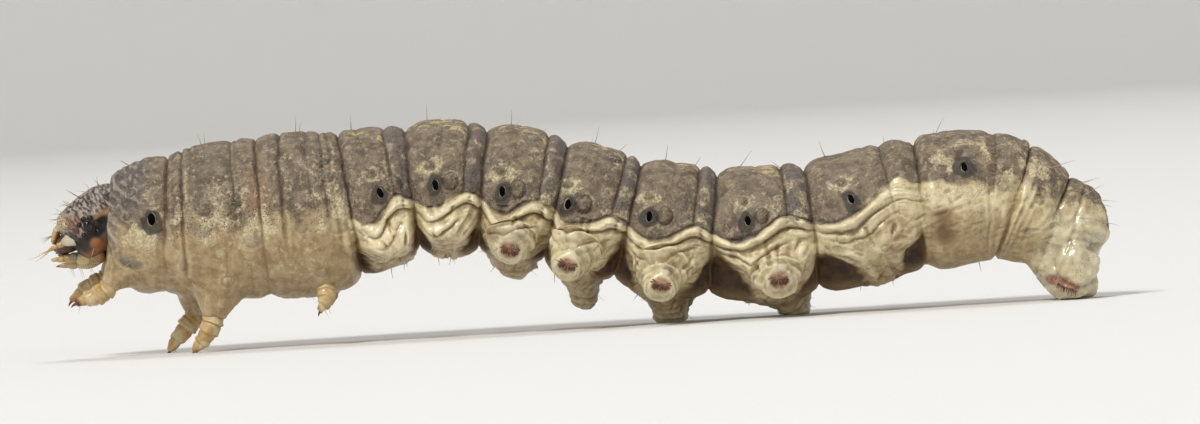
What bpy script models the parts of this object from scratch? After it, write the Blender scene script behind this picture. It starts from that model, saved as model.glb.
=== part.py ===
"""Larva of the black cutworm moth, life size, resting on its feet.

The body lies along X with the head at -X and the tail at +X.  The left side of
the animal is at -Y.  Sizes below are in millimetres and become metres when a
mesh is made.  The floor is z = 0.
"""

import math
from collections import namedtuple

import bmesh
import bpy
from mathutils import Matrix, Vector

MM = 0.001

# Distance between touching pieces, and the rest of the general sizes.
GAP = 0.3
AROUND = 28
LEFT = -1
RIGHT = 1

# Moves the model so that its box stands centred over the origin.
CENTRE_SHIFT = Vector((-0.225, 0.28, 0.0))

# Trunk.  One row for each body segment, from the neck to the tail.
# run: length along X.  rear_z: height of the body's middle line at the rear fold.
# back, belly, side: how far the skin stands from the middle line.
# roll: turn of the belly towards the left side, in degrees.
# fold: depth of the rear fold.  crease: depth of the crease before it.
Segment = namedtuple("Segment", "name run rear_z back belly side roll fold crease")
SEGMENTS = (
    Segment("thorax_1", 2.24, 5.12, 2.55, 2.72, 2.35, 2, 0.14, 0.00),
    Segment("thorax_2", 3.83, 5.20, 3.08, 3.05, 2.85, 3, 0.12, 0.08),
    Segment("thorax_3", 3.56, 5.38, 3.20, 3.38, 3.00, 4, 0.20, 0.10),
    Segment("abdomen_1", 2.38, 5.80, 2.88, 2.66, 2.85, 6, 0.26, 0.12),
    Segment("abdomen_2", 2.78, 5.65, 2.78, 2.72, 2.75, 9, 0.28, 0.14),
    Segment("abdomen_3", 2.85, 5.02, 2.72, 2.72, 2.72, 12, 0.28, 0.14),
    Segment("abdomen_4", 2.78, 4.08, 2.66, 2.80, 2.70, 15, 0.28, 0.14),
    Segment("abdomen_5", 3.27, 3.30, 2.74, 2.72, 2.72, 17, 0.28, 0.14),
    Segment("abdomen_6", 3.95, 3.25, 2.84, 2.68, 2.78, 19, 0.26, 0.14),
    Segment("abdomen_7", 4.35, 3.95, 2.82, 2.62, 2.76, 16, 0.26, 0.12),
    Segment("abdomen_8", 3.64, 3.90, 2.78, 2.50, 2.60, 12, 0.14, 0.06),
    Segment("abdomen_9", 1.50, 3.10, 2.22, 2.20, 2.25, 8, 0.12, 0.00),
    Segment("abdomen_10", 2.05, 2.25, 1.84, 1.86, 1.85, 5, 0.00, 0.00),
)
NECK_X = -18.16
NECK_Z = 5.35
COLLAR_END = 0.40          # share of the first segment that widens behind the head
COLLAR_LOSS = 0.30         # how much narrower the front edge is
TAIL_START = 0.30          # share of the last segment where the tail begins to close
TAIL_END = 0.97
FOLD_WIDTH = 0.34
CREASE_PLACE = 0.74        # share of a segment's length
CREASE_WIDTH = 0.20
RIDGE_ANGLE = 114          # the fold of skin under the breathing holes, from the back
RIDGE_SPREAD = 13
RIDGE_HEIGHT = 0.20
RING_SHARES = (0.22, 0.42, 0.58, 0.67, 0.74, 0.81)

# Legs behind the thorax.  Angle from straight under the body, before its roll.
PROLEG_ANGLE = 37
Proleg = namedtuple("Proleg", "segment side share lean seat reach root foot")
PROLEGS = (
    Proleg(3, LEFT, 0.50, 0.0, 2.52, 3.62, 1.00, 0.50),
    Proleg(3, RIGHT, 0.50, 0.3, 2.52, 3.50, 1.00, 0.48),
    Proleg(4, LEFT, 0.44, -0.2, 2.56, 4.00, 1.05, 0.52),
    Proleg(4, RIGHT, 0.58, 0.5, 2.56, 4.00, 1.02, 0.48),
    Proleg(5, LEFT, 0.50, 0.0, 2.56, 4.05, 1.10, 0.55),
    Proleg(5, RIGHT, 0.54, 0.6, 2.52, 4.10, 1.06, 0.54),
    Proleg(6, LEFT, 0.58, 0.2, 2.52, 3.50, 1.10, 0.58),
    Proleg(6, RIGHT, 0.62, 0.8, 2.44, 3.50, 1.06, 0.54),
)

# Legs of the thorax.  hip: inside the segment, seat: end of the hip's cone,
# then the leg's joints out to the claw.
Leg = namedtuple("Leg", "segment side hip seat hip_radius seat_radius joints radii")
LEGS = (
    Leg(1, LEFT, (-17.3, -0.80, 3.9), (-18.22, -0.98, 2.86), 0.95, 0.44,
        ((-18.43, -1.02, 2.66), (-18.80, -1.02, 2.44), (-19.22, -0.98, 2.34), (-19.62, -0.92, 2.20)),
        (0.38, 0.34, 0.25, 0.07)),
    Leg(1, RIGHT, (-17.4, 0.80, 4.1), (-18.40, 0.98, 3.18), 0.95, 0.44,
        ((-18.64, 1.02, 3.02), (-19.05, 1.04, 2.88), (-19.48, 1.00, 2.66), (-19.88, 0.92, 2.28)),
        (0.38, 0.34, 0.25, 0.07)),
    Leg(2, LEFT, (-13.75, -0.85, 3.3), (-14.22, -1.06, 1.42), 1.60, 0.52,
        ((-14.30, -1.09, 1.13), (-14.50, -1.10, 0.74), (-14.80, -1.06, 0.36), (-15.06, -1.00, 0.02)),
        (0.44, 0.38, 0.26, 0.12)),
    Leg(2, RIGHT, (-14.75, 0.85, 3.3), (-15.06, 1.06, 1.52), 1.60, 0.52,
        ((-15.17, 1.09, 1.24), (-15.48, 1.10, 0.92), (-15.86, 1.06, 0.46), (-16.14, 1.00, 0.02)),
        (0.44, 0.38, 0.26, 0.12)),
    Leg(3, LEFT, (-10.2, -0.80, 4.0), (-9.74, -1.56, 2.36), 1.20, 0.48,
        ((-9.70, -1.68, 2.08), (-9.74, -1.86, 1.82), (-9.86, -1.94, 1.58), (-9.99, -1.86, 1.38)),
        (0.40, 0.33, 0.23, 0.10)),
    Leg(3, RIGHT, (-10.2, 0.80, 4.0), (-9.74, 1.56, 2.36), 1.20, 0.48,
        ((-9.70, 1.68, 2.08), (-9.74, 1.86, 1.82), (-9.86, 1.94, 1.58), (-9.99, 1.86, 1.38)),
        (0.40, 0.33, 0.23, 0.10)),
)

# Clasping legs of the last segment, which stand straight on the floor.
CLASPER_HIP = (19.35, 0.70, 2.55)
CLASPER_TOP = (19.66, 0.98, 1.22)
CLASPER_FOOT = (19.70, 1.08, 0.0)
CLASPER_RADII = (0.98, 0.92, 0.74)

# Head.  Its own axes are mouthward, left and faceward.
HEAD_CENTRE = Vector((-18.75, 0.0, 5.33))
HEAD_PITCH = 37
HEAD_LENGTH = 1.75
HEAD_WIDTH = 1.70
HEAD_DEPTH = 1.20
HEAD_POWER = 2.5
HEAD_GROOVE = 0.10
MOUTH_CUT = 1.20
LABRUM_CENTRE = Vector((1.25, 0.0, 0.78))
LABRUM_SIZE = Vector((0.55, 0.62, 0.21))
LABRUM_TILT = 18
EYE_PLACE = Vector((0.16, 0.0, -0.02))
EYE_RADIUS = 0.34
EYE_BACK = 1.26
EYE_FRONT = 1.68
LENS_RADIUS = 0.09
LENS_RING = 0.22
LENS_COUNT = 6

# Mouthparts in the head's own axes, for the left side.
JAW_JOINTS = ((1.50, 0.52, 0.00), (1.76, 0.50, 0.06), (1.98, 0.34, 0.14))
JAW_RADII = (0.26, 0.24, 0.13)
FEELER_ROOT = (1.50, 1.20, 0.08)
FEELER_MIDDLE = (0.5, 1.19, 0.17)   # the first number is a share of the feeler's length
FEELER_TIP = (1.0, 1.15, 0.28)
FEELER_RADII = (0.19, 0.15, 0.05)
FEELER_LENGTHS = {LEFT: 0.40, RIGHT: 0.74}
LOWER_LIP = Vector((1.80, 0.0, -0.72))
LOWER_LIP_SIZE = Vector((0.30, 0.58, 0.24))
PALP_JOINTS = ((1.62, 0.50, -0.76), (1.92, 0.50, -0.58), (2.30, 0.42, -0.22))
PALP_RADII = (0.24, 0.18, 0.06)
SPINNERET_JOINTS = ((1.90, 0.0, -0.70), (2.26, 0.0, -0.46))
SPINNERET_RADII = (0.15, 0.05)


# Materials

def make_material(name, colour, roughness):
    material = bpy.data.materials.new(name)
    material.use_nodes = True
    shader = material.node_tree.nodes["Principled BSDF"]
    shader.inputs["Base Color"].default_value = (*colour, 1.0)
    shader.inputs["Roughness"].default_value = roughness
    shader.inputs["Metallic"].default_value = 0.0
    return material


# Mesh helpers

def new_object(name, mesh, material, collection):
    obj = bpy.data.objects.new(name, mesh)
    if material:
        mesh.materials.clear()
        mesh.materials.append(material)
    collection.objects.link(obj)
    return obj


def mesh_from(build, name="piece"):
    """Makes a mesh in metres from a bmesh that is built in millimetres."""
    mesh = bpy.data.meshes.new(name)
    build.transform(Matrix.Scale(MM, 4))
    build.to_mesh(mesh)
    build.free()
    return mesh


def loft(rings):
    """Joins rings of equally many points into one closed body with flat ends."""
    build = bmesh.new()
    loops = [[build.verts.new(point) for point in ring] for ring in rings]
    count = len(rings[0])
    for first, second in zip(loops, loops[1:]):
        for i in range(count):
            j = (i + 1) % count
            build.faces.new((first[i], first[j], second[j], second[i]))
    build.faces.new(loops[0])
    build.faces.new(list(reversed(loops[-1])))
    bmesh.ops.recalc_face_normals(build, faces=build.faces)
    return build


def cone_between(start, end, start_radius, end_radius, sides=20):
    """A cone frustum from one point to another."""
    start = Vector(start)
    axis = Vector(end) - start
    build = bmesh.new()
    place = Matrix.Translation(start + axis / 2) @ axis.to_track_quat("Z", "Y").to_matrix().to_4x4()
    bmesh.ops.create_cone(build, cap_ends=True, segments=sides, radius1=start_radius,
                          radius2=end_radius, depth=axis.length, matrix=place)
    return build


def ball(centre, size, frame, around=16, along=10):
    """An ellipsoid with its half sizes along the axes of a frame."""
    build = bmesh.new()
    bmesh.ops.create_uvsphere(build, u_segments=around, v_segments=along, radius=1.0)
    build.transform(Matrix.Translation(centre) @ frame @ Matrix.Diagonal((*size, 1.0)))
    return build


def limb(points, radii, collection):
    """A bent and tapered tube with closed ends, as a mesh object."""
    curve = bpy.data.curves.new("limb", "CURVE")
    curve.dimensions = "3D"
    curve.bevel_depth = MM
    curve.bevel_resolution = 3
    curve.use_fill_caps = True
    spline = curve.splines.new("POLY")
    spline.points.add(len(points) - 1)
    for knot, point, radius in zip(spline.points, points, radii):
        knot.co = (*(Vector(point) * MM), 1.0)
        knot.radius = radius
    guide = bpy.data.objects.new("limb", curve)
    collection.objects.link(guide)
    mesh = evaluated_mesh(guide)
    bpy.data.objects.remove(guide)
    build = bmesh.new()
    build.from_mesh(mesh)
    bmesh.ops.remove_doubles(build, verts=build.verts, dist=MM * 0.001)
    bmesh.ops.recalc_face_normals(build, faces=build.faces)
    build.to_mesh(mesh)
    build.free()
    return new_object("limb", mesh, None, collection)


def evaluated_mesh(obj):
    bpy.context.view_layer.update()
    graph = bpy.context.evaluated_depsgraph_get()
    return bpy.data.meshes.new_from_object(obj.evaluated_get(graph))


def largest_surface(mesh):
    """Keeps the closed surface that reaches furthest and drops any other."""
    build = bmesh.new()
    build.from_mesh(mesh)
    left = set(build.verts)
    groups = []
    while left:
        stack = [left.pop()]
        group = set(stack)
        while stack:
            for edge in stack.pop().link_edges:
                for vert in edge.verts:
                    if vert in left:
                        left.discard(vert)
                        group.add(vert)
                        stack.append(vert)
        groups.append(group)
    groups.sort(key=len)
    for group in groups[:-1]:
        bmesh.ops.delete(build, geom=list(group), context="VERTS")
    build.to_mesh(mesh)
    build.free()


def fuse(obj, pieces, cutters):
    """Unites an object with a list of closed mesh objects and removes them."""
    group = bpy.data.collections.new("pieces")
    cutters.children.link(group)
    for piece in pieces:
        for owner in piece.users_collection:
            owner.objects.unlink(piece)
        group.objects.link(piece)
    join = obj.modifiers.new("Join", "BOOLEAN")
    join.operation = "UNION"
    join.operand_type = "COLLECTION"
    join.collection = group
    join.solver = "EXACT"
    mesh = evaluated_mesh(obj)
    obj.modifiers.clear()
    obj.data = mesh
    largest_surface(mesh)
    for piece in list(group.objects):
        bpy.data.objects.remove(piece)
    bpy.data.collections.remove(group)


def cut_flat(obj, point, normal):
    """Cuts off what lies beyond a plane and closes the cut with a flat face."""
    build = bmesh.new()
    build.from_mesh(obj.data)
    bmesh.ops.bisect_plane(build, geom=build.verts[:] + build.edges[:] + build.faces[:],
                           dist=MM * 0.0005, plane_co=Vector(point) * MM, plane_no=normal,
                           clear_outer=True)
    rim = [edge for edge in build.edges if edge.is_boundary]
    if rim:
        bmesh.ops.edgeloop_fill(build, edges=rim)
    bmesh.ops.recalc_face_normals(build, faces=build.faces)
    build.to_mesh(obj.data)
    build.free()


def cut_out(obj, cutter):
    """Takes a closed cutter out of an object and removes the cutter."""
    cut = obj.modifiers.new("Cut", "BOOLEAN")
    cut.operation = "DIFFERENCE"
    cut.object = cutter
    cut.solver = "EXACT"
    mesh = evaluated_mesh(obj)
    obj.modifiers.clear()
    obj.data = mesh
    largest_surface(mesh)
    bpy.data.objects.remove(cutter)


def trim_to_folds(obj, index):
    """Cuts a trunk segment flat at its two folds again after a leg has joined it."""
    for place, sign in ((index, -1), (index + 1, 1)):
        centre, along, back, left = spine_frame(place)
        cut_flat(obj, centre - along * (sign * GAP / 2), along * sign)


def stand_on_floor(obj):
    """Flattens whatever would reach below the floor."""
    for vert in obj.data.vertices:
        vert.co.z = max(vert.co.z, 0.0)


# Trunk surface

def smooth(values, place):
    """Reads a smooth curve through evenly numbered values."""
    last = len(values) - 1
    place = min(max(place, 0.0), float(last))
    i = min(int(place), last - 1)
    f = place - i
    a = values[max(i - 1, 0)]
    b = values[i]
    c = values[i + 1]
    d = values[min(i + 2, last)]
    return b + 0.5 * f * (c - a + f * (2 * a - 5 * b + 4 * c - d + f * (3 * (b - c) + d - a)))


def spine_knots():
    """Middle of the body at the neck and at each segment's rear fold."""
    knots = [(NECK_X, NECK_Z)]
    for row in SEGMENTS:
        knots.append((knots[-1][0] + row.run, row.rear_z))
    return knots


SPINE = spine_knots()


def spine_slope(i):
    """Slope of the middle line at a fold, from the segments on both sides."""
    last = len(SPINE) - 1
    i = min(max(i, 0), last)
    ahead = SPINE[min(i + 1, last)]
    here = SPINE[i]
    behind = SPINE[max(i - 1, 0)]
    if i == 0 or i == last:
        return (ahead[1] - behind[1]) / (ahead[0] - behind[0])
    front_run = here[0] - behind[0]
    rear_run = ahead[0] - here[0]
    front_slope = (here[1] - behind[1]) / front_run
    rear_slope = (ahead[1] - here[1]) / rear_run
    return (front_slope * rear_run + rear_slope * front_run) / (front_run + rear_run)


def spine_point(place):
    """Point on the middle line: place 0 is the neck and 1 the first fold."""
    i = min(max(int(place), 0), len(SEGMENTS) - 1)
    f = place - i
    run = SEGMENTS[i].run
    start = SPINE[i][1]
    end = SPINE[i + 1][1]
    height = (start * (1 + 2 * f) * (1 - f) ** 2 + end * (3 - 2 * f) * f ** 2
              + spine_slope(i) * run * f * (1 - f) ** 2 - spine_slope(i + 1) * run * (1 - f) * f ** 2)
    return Vector((SPINE[i][0] + f * run, 0.0, height))


def spine_frame(place):
    """Centre, direction to the tail, back and left side of the body at a place."""
    step = 0.02
    last = float(len(SEGMENTS))
    ahead = spine_point(min(place + step, last))
    behind = spine_point(max(place - step, 0.0))
    along = (ahead - behind).normalized()
    roll = math.radians(smooth([row.roll for row in SEGMENTS], place - 0.5))
    plain_back = Vector((-along.z, 0.0, along.x))
    back = plain_back * math.cos(roll) + Vector((0.0, math.sin(roll), 0.0))
    left = along.cross(back)
    return spine_point(place), along, back, left


def bell(distance, width):
    return math.exp(-(distance / width) ** 2)


def end_factor(place):
    """Narrows the collar behind the head and closes the tail."""
    if place < COLLAR_END:
        return 1.0 - COLLAR_LOSS * (1.0 - place / COLLAR_END) ** 2
    tail = place - (len(SEGMENTS) - 1) - TAIL_START
    if tail > 0.0:
        return math.sqrt(max(1.0 - (tail / (1.0 - TAIL_START)) ** 2, 0.0))
    return 1.0


def fold_depth(place, angle):
    """Depth of the folds between segments and of the crease before each."""
    depth = 0.0
    for i, row in enumerate(SEGMENTS):
        if row.fold:
            depth += row.fold * bell((place - i - 1) * row.run, FOLD_WIDTH)
        if row.crease:
            upper = 0.5 + 0.5 * math.cos(math.radians(min(abs(angle), 180)))
            depth += row.crease * upper * bell((place - i - CREASE_PLACE) * row.run, CREASE_WIDTH)
    return depth


def ridge(place, angle):
    """Height of the fold of skin along each side, strongest inside a segment."""
    share = place % 1.0
    if not 3.0 < place < 11.0:
        return 0.0
    strength = math.sin(math.pi * share) ** 0.5
    centre = RIDGE_ANGLE + 5.0 * math.cos(2.0 * math.pi * (share - 0.35))
    return RIDGE_HEIGHT * strength * bell(abs(angle) - centre, RIDGE_SPREAD)


def skin_point(place, angle, shift=0.0):
    """Point of the skin.  Angle 0 is the back, 90 the left side, 180 the belly."""
    centre, along, back, left = spine_frame(place)
    mid = place - 0.5
    turn = math.radians(angle)
    up = smooth([row.back if math.cos(turn) > 0 else row.belly for row in SEGMENTS], mid)
    side = smooth([row.side for row in SEGMENTS], mid)
    factor = end_factor(place)
    arm = back * (up * math.cos(turn)) + left * (side * math.sin(turn))
    grow = ridge(place, angle) - fold_depth(place, angle)
    return centre + along * shift + arm * factor + arm.normalized() * grow


def skin_ring(place, shift=0.0):
    angles = [-180.0 + 360.0 * i / AROUND for i in range(AROUND)]
    return [skin_point(place, angle, shift) for angle in angles]


def trunk_mesh(index):
    """One segment of the trunk, cut flat at both folds."""
    row = SEGMENTS[index]
    edge = GAP / 2
    rings = [skin_ring(index, edge)]
    rings.append(skin_ring(index + 0.42 / row.run))
    if index < len(SEGMENTS) - 1:
        inner = [share for share in RING_SHARES if 0.6 < share * row.run < row.run - 0.5]
        rings += [skin_ring(index + share) for share in inner]
        rings.append(skin_ring(index + 1.0 - 0.36 / row.run))
        rings.append(skin_ring(index + 1.0, -edge))
    else:
        rings += [skin_ring(index + share) for share in (0.36, 0.50, 0.64, 0.76, 0.86, 0.93, TAIL_END)]
    return mesh_from(loft(rings))


# Legs

def proleg_axis(row):
    """Start on the middle line and direction of a leg under the abdomen."""
    place = row.segment + 2 + row.share
    centre, along, back, left = spine_frame(place)
    turn = math.radians(PROLEG_ANGLE)
    down = left * (-row.side * math.sin(turn)) - back * math.cos(turn)
    foot = centre + down * row.reach + along * row.lean
    return centre, (foot - centre).normalized(), (foot - centre).length


def proleg_object(row, name, material, collection):
    """A fleshy leg: a short cone that ends in a round sole."""
    centre, down, reach = proleg_axis(row)
    root = row.seat + GAP
    length = reach - root
    profile = (
        (0.0, 0.0),
        (row.root, 0.0),
        (row.root * 0.93, -0.30 * length),
        (row.foot * 1.28, -0.70 * length),
        (row.foot * 1.10, -0.90 * length),
        (row.foot * 0.85, -length),
        (0.0, -length),
    )
    mesh = bpy.data.meshes.new(name)
    points = [(radius * MM, 0.0, height * MM) for radius, height in profile]
    mesh.from_pydata(points, [(i, i + 1) for i in range(len(points) - 1)], [])
    obj = new_object(name, mesh, None, collection)
    turn = obj.modifiers.new("Turn", "SCREW")
    turn.axis = "Z"
    turn.steps = 20
    turn.render_steps = 20
    turn.use_merge_vertices = True
    turn.merge_threshold = MM * 0.001
    solid = evaluated_mesh(obj)
    obj.modifiers.clear()
    obj.data = solid
    aim = (-down).to_track_quat("Z", "Y").to_matrix().to_4x4()
    solid.transform(Matrix.Translation((centre + down * root) * MM) @ aim)
    solid.materials.clear()
    solid.materials.append(material)
    stand_on_floor(obj)
    return obj


# Head

def head_frame():
    """Turns the head's mouthward, left and faceward axes into X, Y and Z."""
    pitch = math.radians(HEAD_PITCH)
    mouthward = Vector((-math.cos(pitch), 0.0, -math.sin(pitch)))
    leftward = Vector((0.0, -1.0, 0.0))
    faceward = Vector((-math.sin(pitch), 0.0, math.cos(pitch)))
    return Matrix((mouthward, leftward, faceward)).transposed().to_4x4()


HEAD_FRAME = head_frame()


def head_point(mouthward, leftward, faceward):
    return HEAD_CENTRE + HEAD_FRAME.to_3x3() @ Vector((mouthward, leftward, faceward))


def capsule_mesh():
    """The hard head capsule: two rounded lobes with a groove between them."""
    build = bmesh.new()
    bmesh.ops.create_uvsphere(build, u_segments=32, v_segments=20, radius=1.0)
    for vert in build.verts:
        norm = sum(abs(value) ** HEAD_POWER for value in vert.co) ** (1.0 / HEAD_POWER)
        vert.co /= norm
        vert.co.x *= HEAD_LENGTH
        vert.co.y *= HEAD_WIDTH
        vert.co.z *= HEAD_DEPTH
        if vert.co.z > 0.0:
            vert.co.z -= HEAD_GROOVE * bell(vert.co.y, 0.22) * min(vert.co.z / HEAD_DEPTH, 1.0)
    build.transform(Matrix.Translation(HEAD_CENTRE) @ HEAD_FRAME)
    return mesh_from(build)


def build_eye(side, name, parts, cutters, material):
    """A domed seat with six small lenses, five in an arc and one inside it."""
    out = -side
    depth = EYE_FRONT - EYE_BACK
    sideways = HEAD_FRAME @ Matrix.Rotation(math.radians(-90 * out), 4, "X")
    base = head_point(EYE_PLACE.x, out * EYE_BACK, EYE_PLACE.z)
    dome = ball(base, Vector((EYE_RADIUS, EYE_RADIUS, depth)), sideways, 24, 14)
    eye = new_object("stemmata_" + name, mesh_from(dome), None, parts)
    cut_flat(eye, base, HEAD_FRAME.to_3x3() @ Vector((0.0, -out, 0.0)))
    lenses = []
    for i in range(LENS_COUNT):
        turn = math.radians(-110 + 50 * i)
        ring = LENS_RING if i < LENS_COUNT - 1 else 0.0
        height = depth * math.sqrt(1.0 - (ring / EYE_RADIUS) ** 2)
        centre = head_point(EYE_PLACE.x + ring * math.cos(turn), out * (EYE_BACK + height),
                            EYE_PLACE.z + ring * math.sin(turn))
        lens = mesh_from(ball(centre, Vector((1, 1, 1)) * LENS_RADIUS, sideways, 10, 6))
        lenses.append(new_object("lens", lens, None, cutters))
    fuse(eye, lenses, cutters)
    eye.data.materials.clear()
    eye.data.materials.append(material)


def build_head(parts, cutters, materials):
    head = new_object("head", capsule_mesh(), materials["capsule"], parts)
    centre, along, back, left = spine_frame(0.0)
    cut_flat(head, centre - along * (GAP / 2), along)
    mouthward = HEAD_FRAME.to_3x3() @ Vector((1.0, 0.0, 0.0))
    cut_flat(head, head_point(MOUTH_CUT, 0.0, 0.0), mouthward)
    tilt = HEAD_FRAME @ Matrix.Rotation(math.radians(LABRUM_TILT), 4, "Y")
    labrum = mesh_from(ball(head_point(*LABRUM_CENTRE), LABRUM_SIZE, tilt, 20, 12))
    fuse(head, [new_object("labrum", labrum, None, cutters)], cutters)
    for side, name in ((LEFT, "left"), (RIGHT, "right")):
        pocket = cone_between(head_point(EYE_PLACE.x, -side * (EYE_BACK - GAP), EYE_PLACE.z),
                              head_point(EYE_PLACE.x, -side * 2.5, EYE_PLACE.z),
                              EYE_RADIUS + GAP, EYE_RADIUS + GAP, 24)
        cut_out(head, new_object("pocket", mesh_from(pocket), None, cutters))
        build_eye(side, name, parts, cutters, materials["eye"])
    head.data.materials.clear()
    head.data.materials.append(materials["capsule"])


def head_limb(joints, radii, out, cutters):
    """A limb from joints in the head's own axes, on the left or mirrored."""
    return limb([head_point(x, out * y, z) for x, y, z in joints], radii, cutters)


def feeler_joints(length):
    root_x = FEELER_ROOT[0]
    return [FEELER_ROOT] + [(root_x + share * length, y, z) for share, y, z in (FEELER_MIDDLE, FEELER_TIP)]


def build_mouthparts(parts, cutters, materials):
    pieces = []
    for side, name in ((LEFT, "left"), (RIGHT, "right")):
        out = -side
        jaw = head_limb(JAW_JOINTS, JAW_RADII, out, cutters)
        place_limb(jaw, "mandible_" + name, materials["jaw"], parts)
        feeler = head_limb(feeler_joints(FEELER_LENGTHS[side]), FEELER_RADII, out, cutters)
        place_limb(feeler, "antenna_" + name, materials["amber"], parts)
        pieces.append(head_limb(PALP_JOINTS, PALP_RADII, out, cutters))
    pieces.append(head_limb(SPINNERET_JOINTS, SPINNERET_RADII, 1, cutters))
    lip = mesh_from(ball(head_point(*LOWER_LIP), LOWER_LIP_SIZE, HEAD_FRAME))
    lower = new_object("lower_mouthparts", lip, None, parts)
    fuse(lower, pieces, cutters)
    lower.data.materials.clear()
    lower.data.materials.append(materials["amber"])


def place_limb(obj, name, material, parts):
    for owner in obj.users_collection:
        owner.objects.unlink(obj)
    parts.objects.link(obj)
    obj.name = name
    obj.data.materials.clear()
    obj.data.materials.append(material)


# Whole animal

def build_trunk(parts, materials):
    trunk = {}
    for index, row in enumerate(SEGMENTS):
        trunk[row.name] = new_object(row.name, trunk_mesh(index), materials["skin"], parts)
    return trunk


def build_legs(parts, cutters, materials, trunk):
    for row in LEGS:
        segment = trunk["thorax_%d" % row.segment]
        hip = cone_between(row.hip, row.seat, row.hip_radius, row.seat_radius)
        fuse(segment, [new_object("hip", mesh_from(hip), None, cutters)], cutters)
        trim_to_folds(segment, row.segment - 1)
        leg = limb(row.joints, row.radii, cutters)
        side = "left" if row.side == LEFT else "right"
        place_limb(leg, "leg_%d_%s" % (row.segment, side), materials["amber"], parts)
        stand_on_floor(leg)


def build_prolegs(parts, cutters, materials, trunk):
    for row in PROLEGS:
        centre, down, reach = proleg_axis(row)
        cut_flat(trunk["abdomen_%d" % row.segment], centre + down * row.seat, down)
        side = "left" if row.side == LEFT else "right"
        proleg_object(row, "proleg_%d_%s" % (row.segment, side), materials["sole"], parts)


def build_claspers(parts, cutters, materials, trunk):
    segment = trunk["abdomen_10"]
    for side, name in ((LEFT, "left"), (RIGHT, "right")):
        hip = Vector((CLASPER_HIP[0], side * CLASPER_HIP[1], CLASPER_HIP[2]))
        top = Vector((CLASPER_TOP[0], side * CLASPER_TOP[1], CLASPER_TOP[2]))
        foot = Vector((CLASPER_FOOT[0], side * CLASPER_FOOT[1], CLASPER_FOOT[2]))
        stub = cone_between(hip, top, CLASPER_RADII[0], CLASPER_RADII[1])
        fuse(segment, [new_object("stub", mesh_from(stub), None, cutters)], cutters)
        down = (foot - top).normalized()
        column = mesh_from(cone_between(top + down * GAP, foot + down * 0.1, CLASPER_RADII[1] - 0.04,
                                        CLASPER_RADII[2], 24))
        clasper = new_object("proleg_10_" + name, column, materials["sole"], parts)
        stand_on_floor(clasper)


def centre_on_origin(parts):
    for obj in parts.objects:
        obj.data.transform(Matrix.Translation(CENTRE_SHIFT * MM))
        obj.data.shade_smooth()
        obj.data.set_sharp_from_angle(angle=math.radians(40))


def main():
    for obj in list(bpy.data.objects):
        bpy.data.objects.remove(obj)
    parts = bpy.data.collections.new("black_cutworm_larva")
    cutters = bpy.data.collections.new("cutters")
    bpy.context.scene.collection.children.link(parts)
    bpy.context.scene.collection.children.link(cutters)
    materials = {
        "skin": make_material("grey-brown skin", (0.30, 0.26, 0.18), 0.5),
        "sole": make_material("cream skin of the feet", (0.55, 0.47, 0.28), 0.45),
        "capsule": make_material("brown head capsule", (0.16, 0.10, 0.06), 0.35),
        "amber": make_material("amber horn", (0.42, 0.22, 0.06), 0.3),
        "jaw": make_material("dark horn of the jaws", (0.08, 0.03, 0.015), 0.25),
        "eye": make_material("black lenses", (0.02, 0.02, 0.03), 0.08),
    }
    trunk = build_trunk(parts, materials)
    build_legs(parts, cutters, materials, trunk)
    build_prolegs(parts, cutters, materials, trunk)
    build_claspers(parts, cutters, materials, trunk)
    build_head(parts, cutters, materials)
    build_mouthparts(parts, cutters, materials)
    centre_on_origin(parts)


main()
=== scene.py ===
import math
from collections import namedtuple
from types import SimpleNamespace

import bmesh
import bpy
import numpy as np
from mathutils import Matrix, Vector
from mathutils.bvhtree import BVHTree


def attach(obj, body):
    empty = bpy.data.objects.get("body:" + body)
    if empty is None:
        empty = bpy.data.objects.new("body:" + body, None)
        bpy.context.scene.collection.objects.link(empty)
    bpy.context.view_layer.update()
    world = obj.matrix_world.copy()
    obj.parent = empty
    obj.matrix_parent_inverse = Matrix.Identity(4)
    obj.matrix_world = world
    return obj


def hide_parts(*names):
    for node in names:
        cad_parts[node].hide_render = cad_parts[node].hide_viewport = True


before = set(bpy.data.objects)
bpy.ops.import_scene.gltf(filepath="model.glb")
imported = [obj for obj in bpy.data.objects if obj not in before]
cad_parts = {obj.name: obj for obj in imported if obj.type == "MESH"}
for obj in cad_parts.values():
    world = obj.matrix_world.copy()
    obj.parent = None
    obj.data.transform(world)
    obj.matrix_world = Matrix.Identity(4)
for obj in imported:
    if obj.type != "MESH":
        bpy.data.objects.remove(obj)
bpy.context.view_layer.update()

# Every size below is in millimetres and every angle in degrees, unless a note says otherwise.
# The head is at -X, and the animal's left side is at -Y, towards the camera.
mm = 0.001
fullTurn = 2 * math.pi
sideNames = {1: "left", -1: "right"}
chance = np.random.default_rng(7)
lattice = np.random.default_rng(11).uniform(-1, 1, 4096)
stepY, stepZ = 1013, 2741     # steps through the lattice along Y and Z
noiseTurns = [np.linalg.qr(np.random.default_rng(k).normal(size=(3, 3)))[0] for k in (3, 5)]
print("frame loaded:", len(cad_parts), "nodes")


def nodesOf(*starts):
    return [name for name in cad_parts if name.startswith(starts)]


# Small helpers

def bell(distance, width):
    return np.exp(-(distance / width) ** 2)


def smoothed(part):
    return part * part * (3 - 2 * part)


def ramp(low, high, value):
    # 0 under low and 1 over high, smooth in between
    return smoothed(np.clip((value - low) / (high - low), 0.0, 1.0))


def fade(low, high, value):
    return 1 - ramp(low, high, value)


def window(low, full, late, end, value):
    # rises from low to full and falls from late to end
    return ramp(low, full, value) * fade(late, end, value)


def dome(distance):
    # height of half a ball of radius 1 at a distance from its middle
    return np.sqrt(np.clip(1 - distance ** 2, 0, 1))


def circle(count):
    # evenly spaced turns
    return np.linspace(0, fullTurn, count, endpoint=False)


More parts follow.
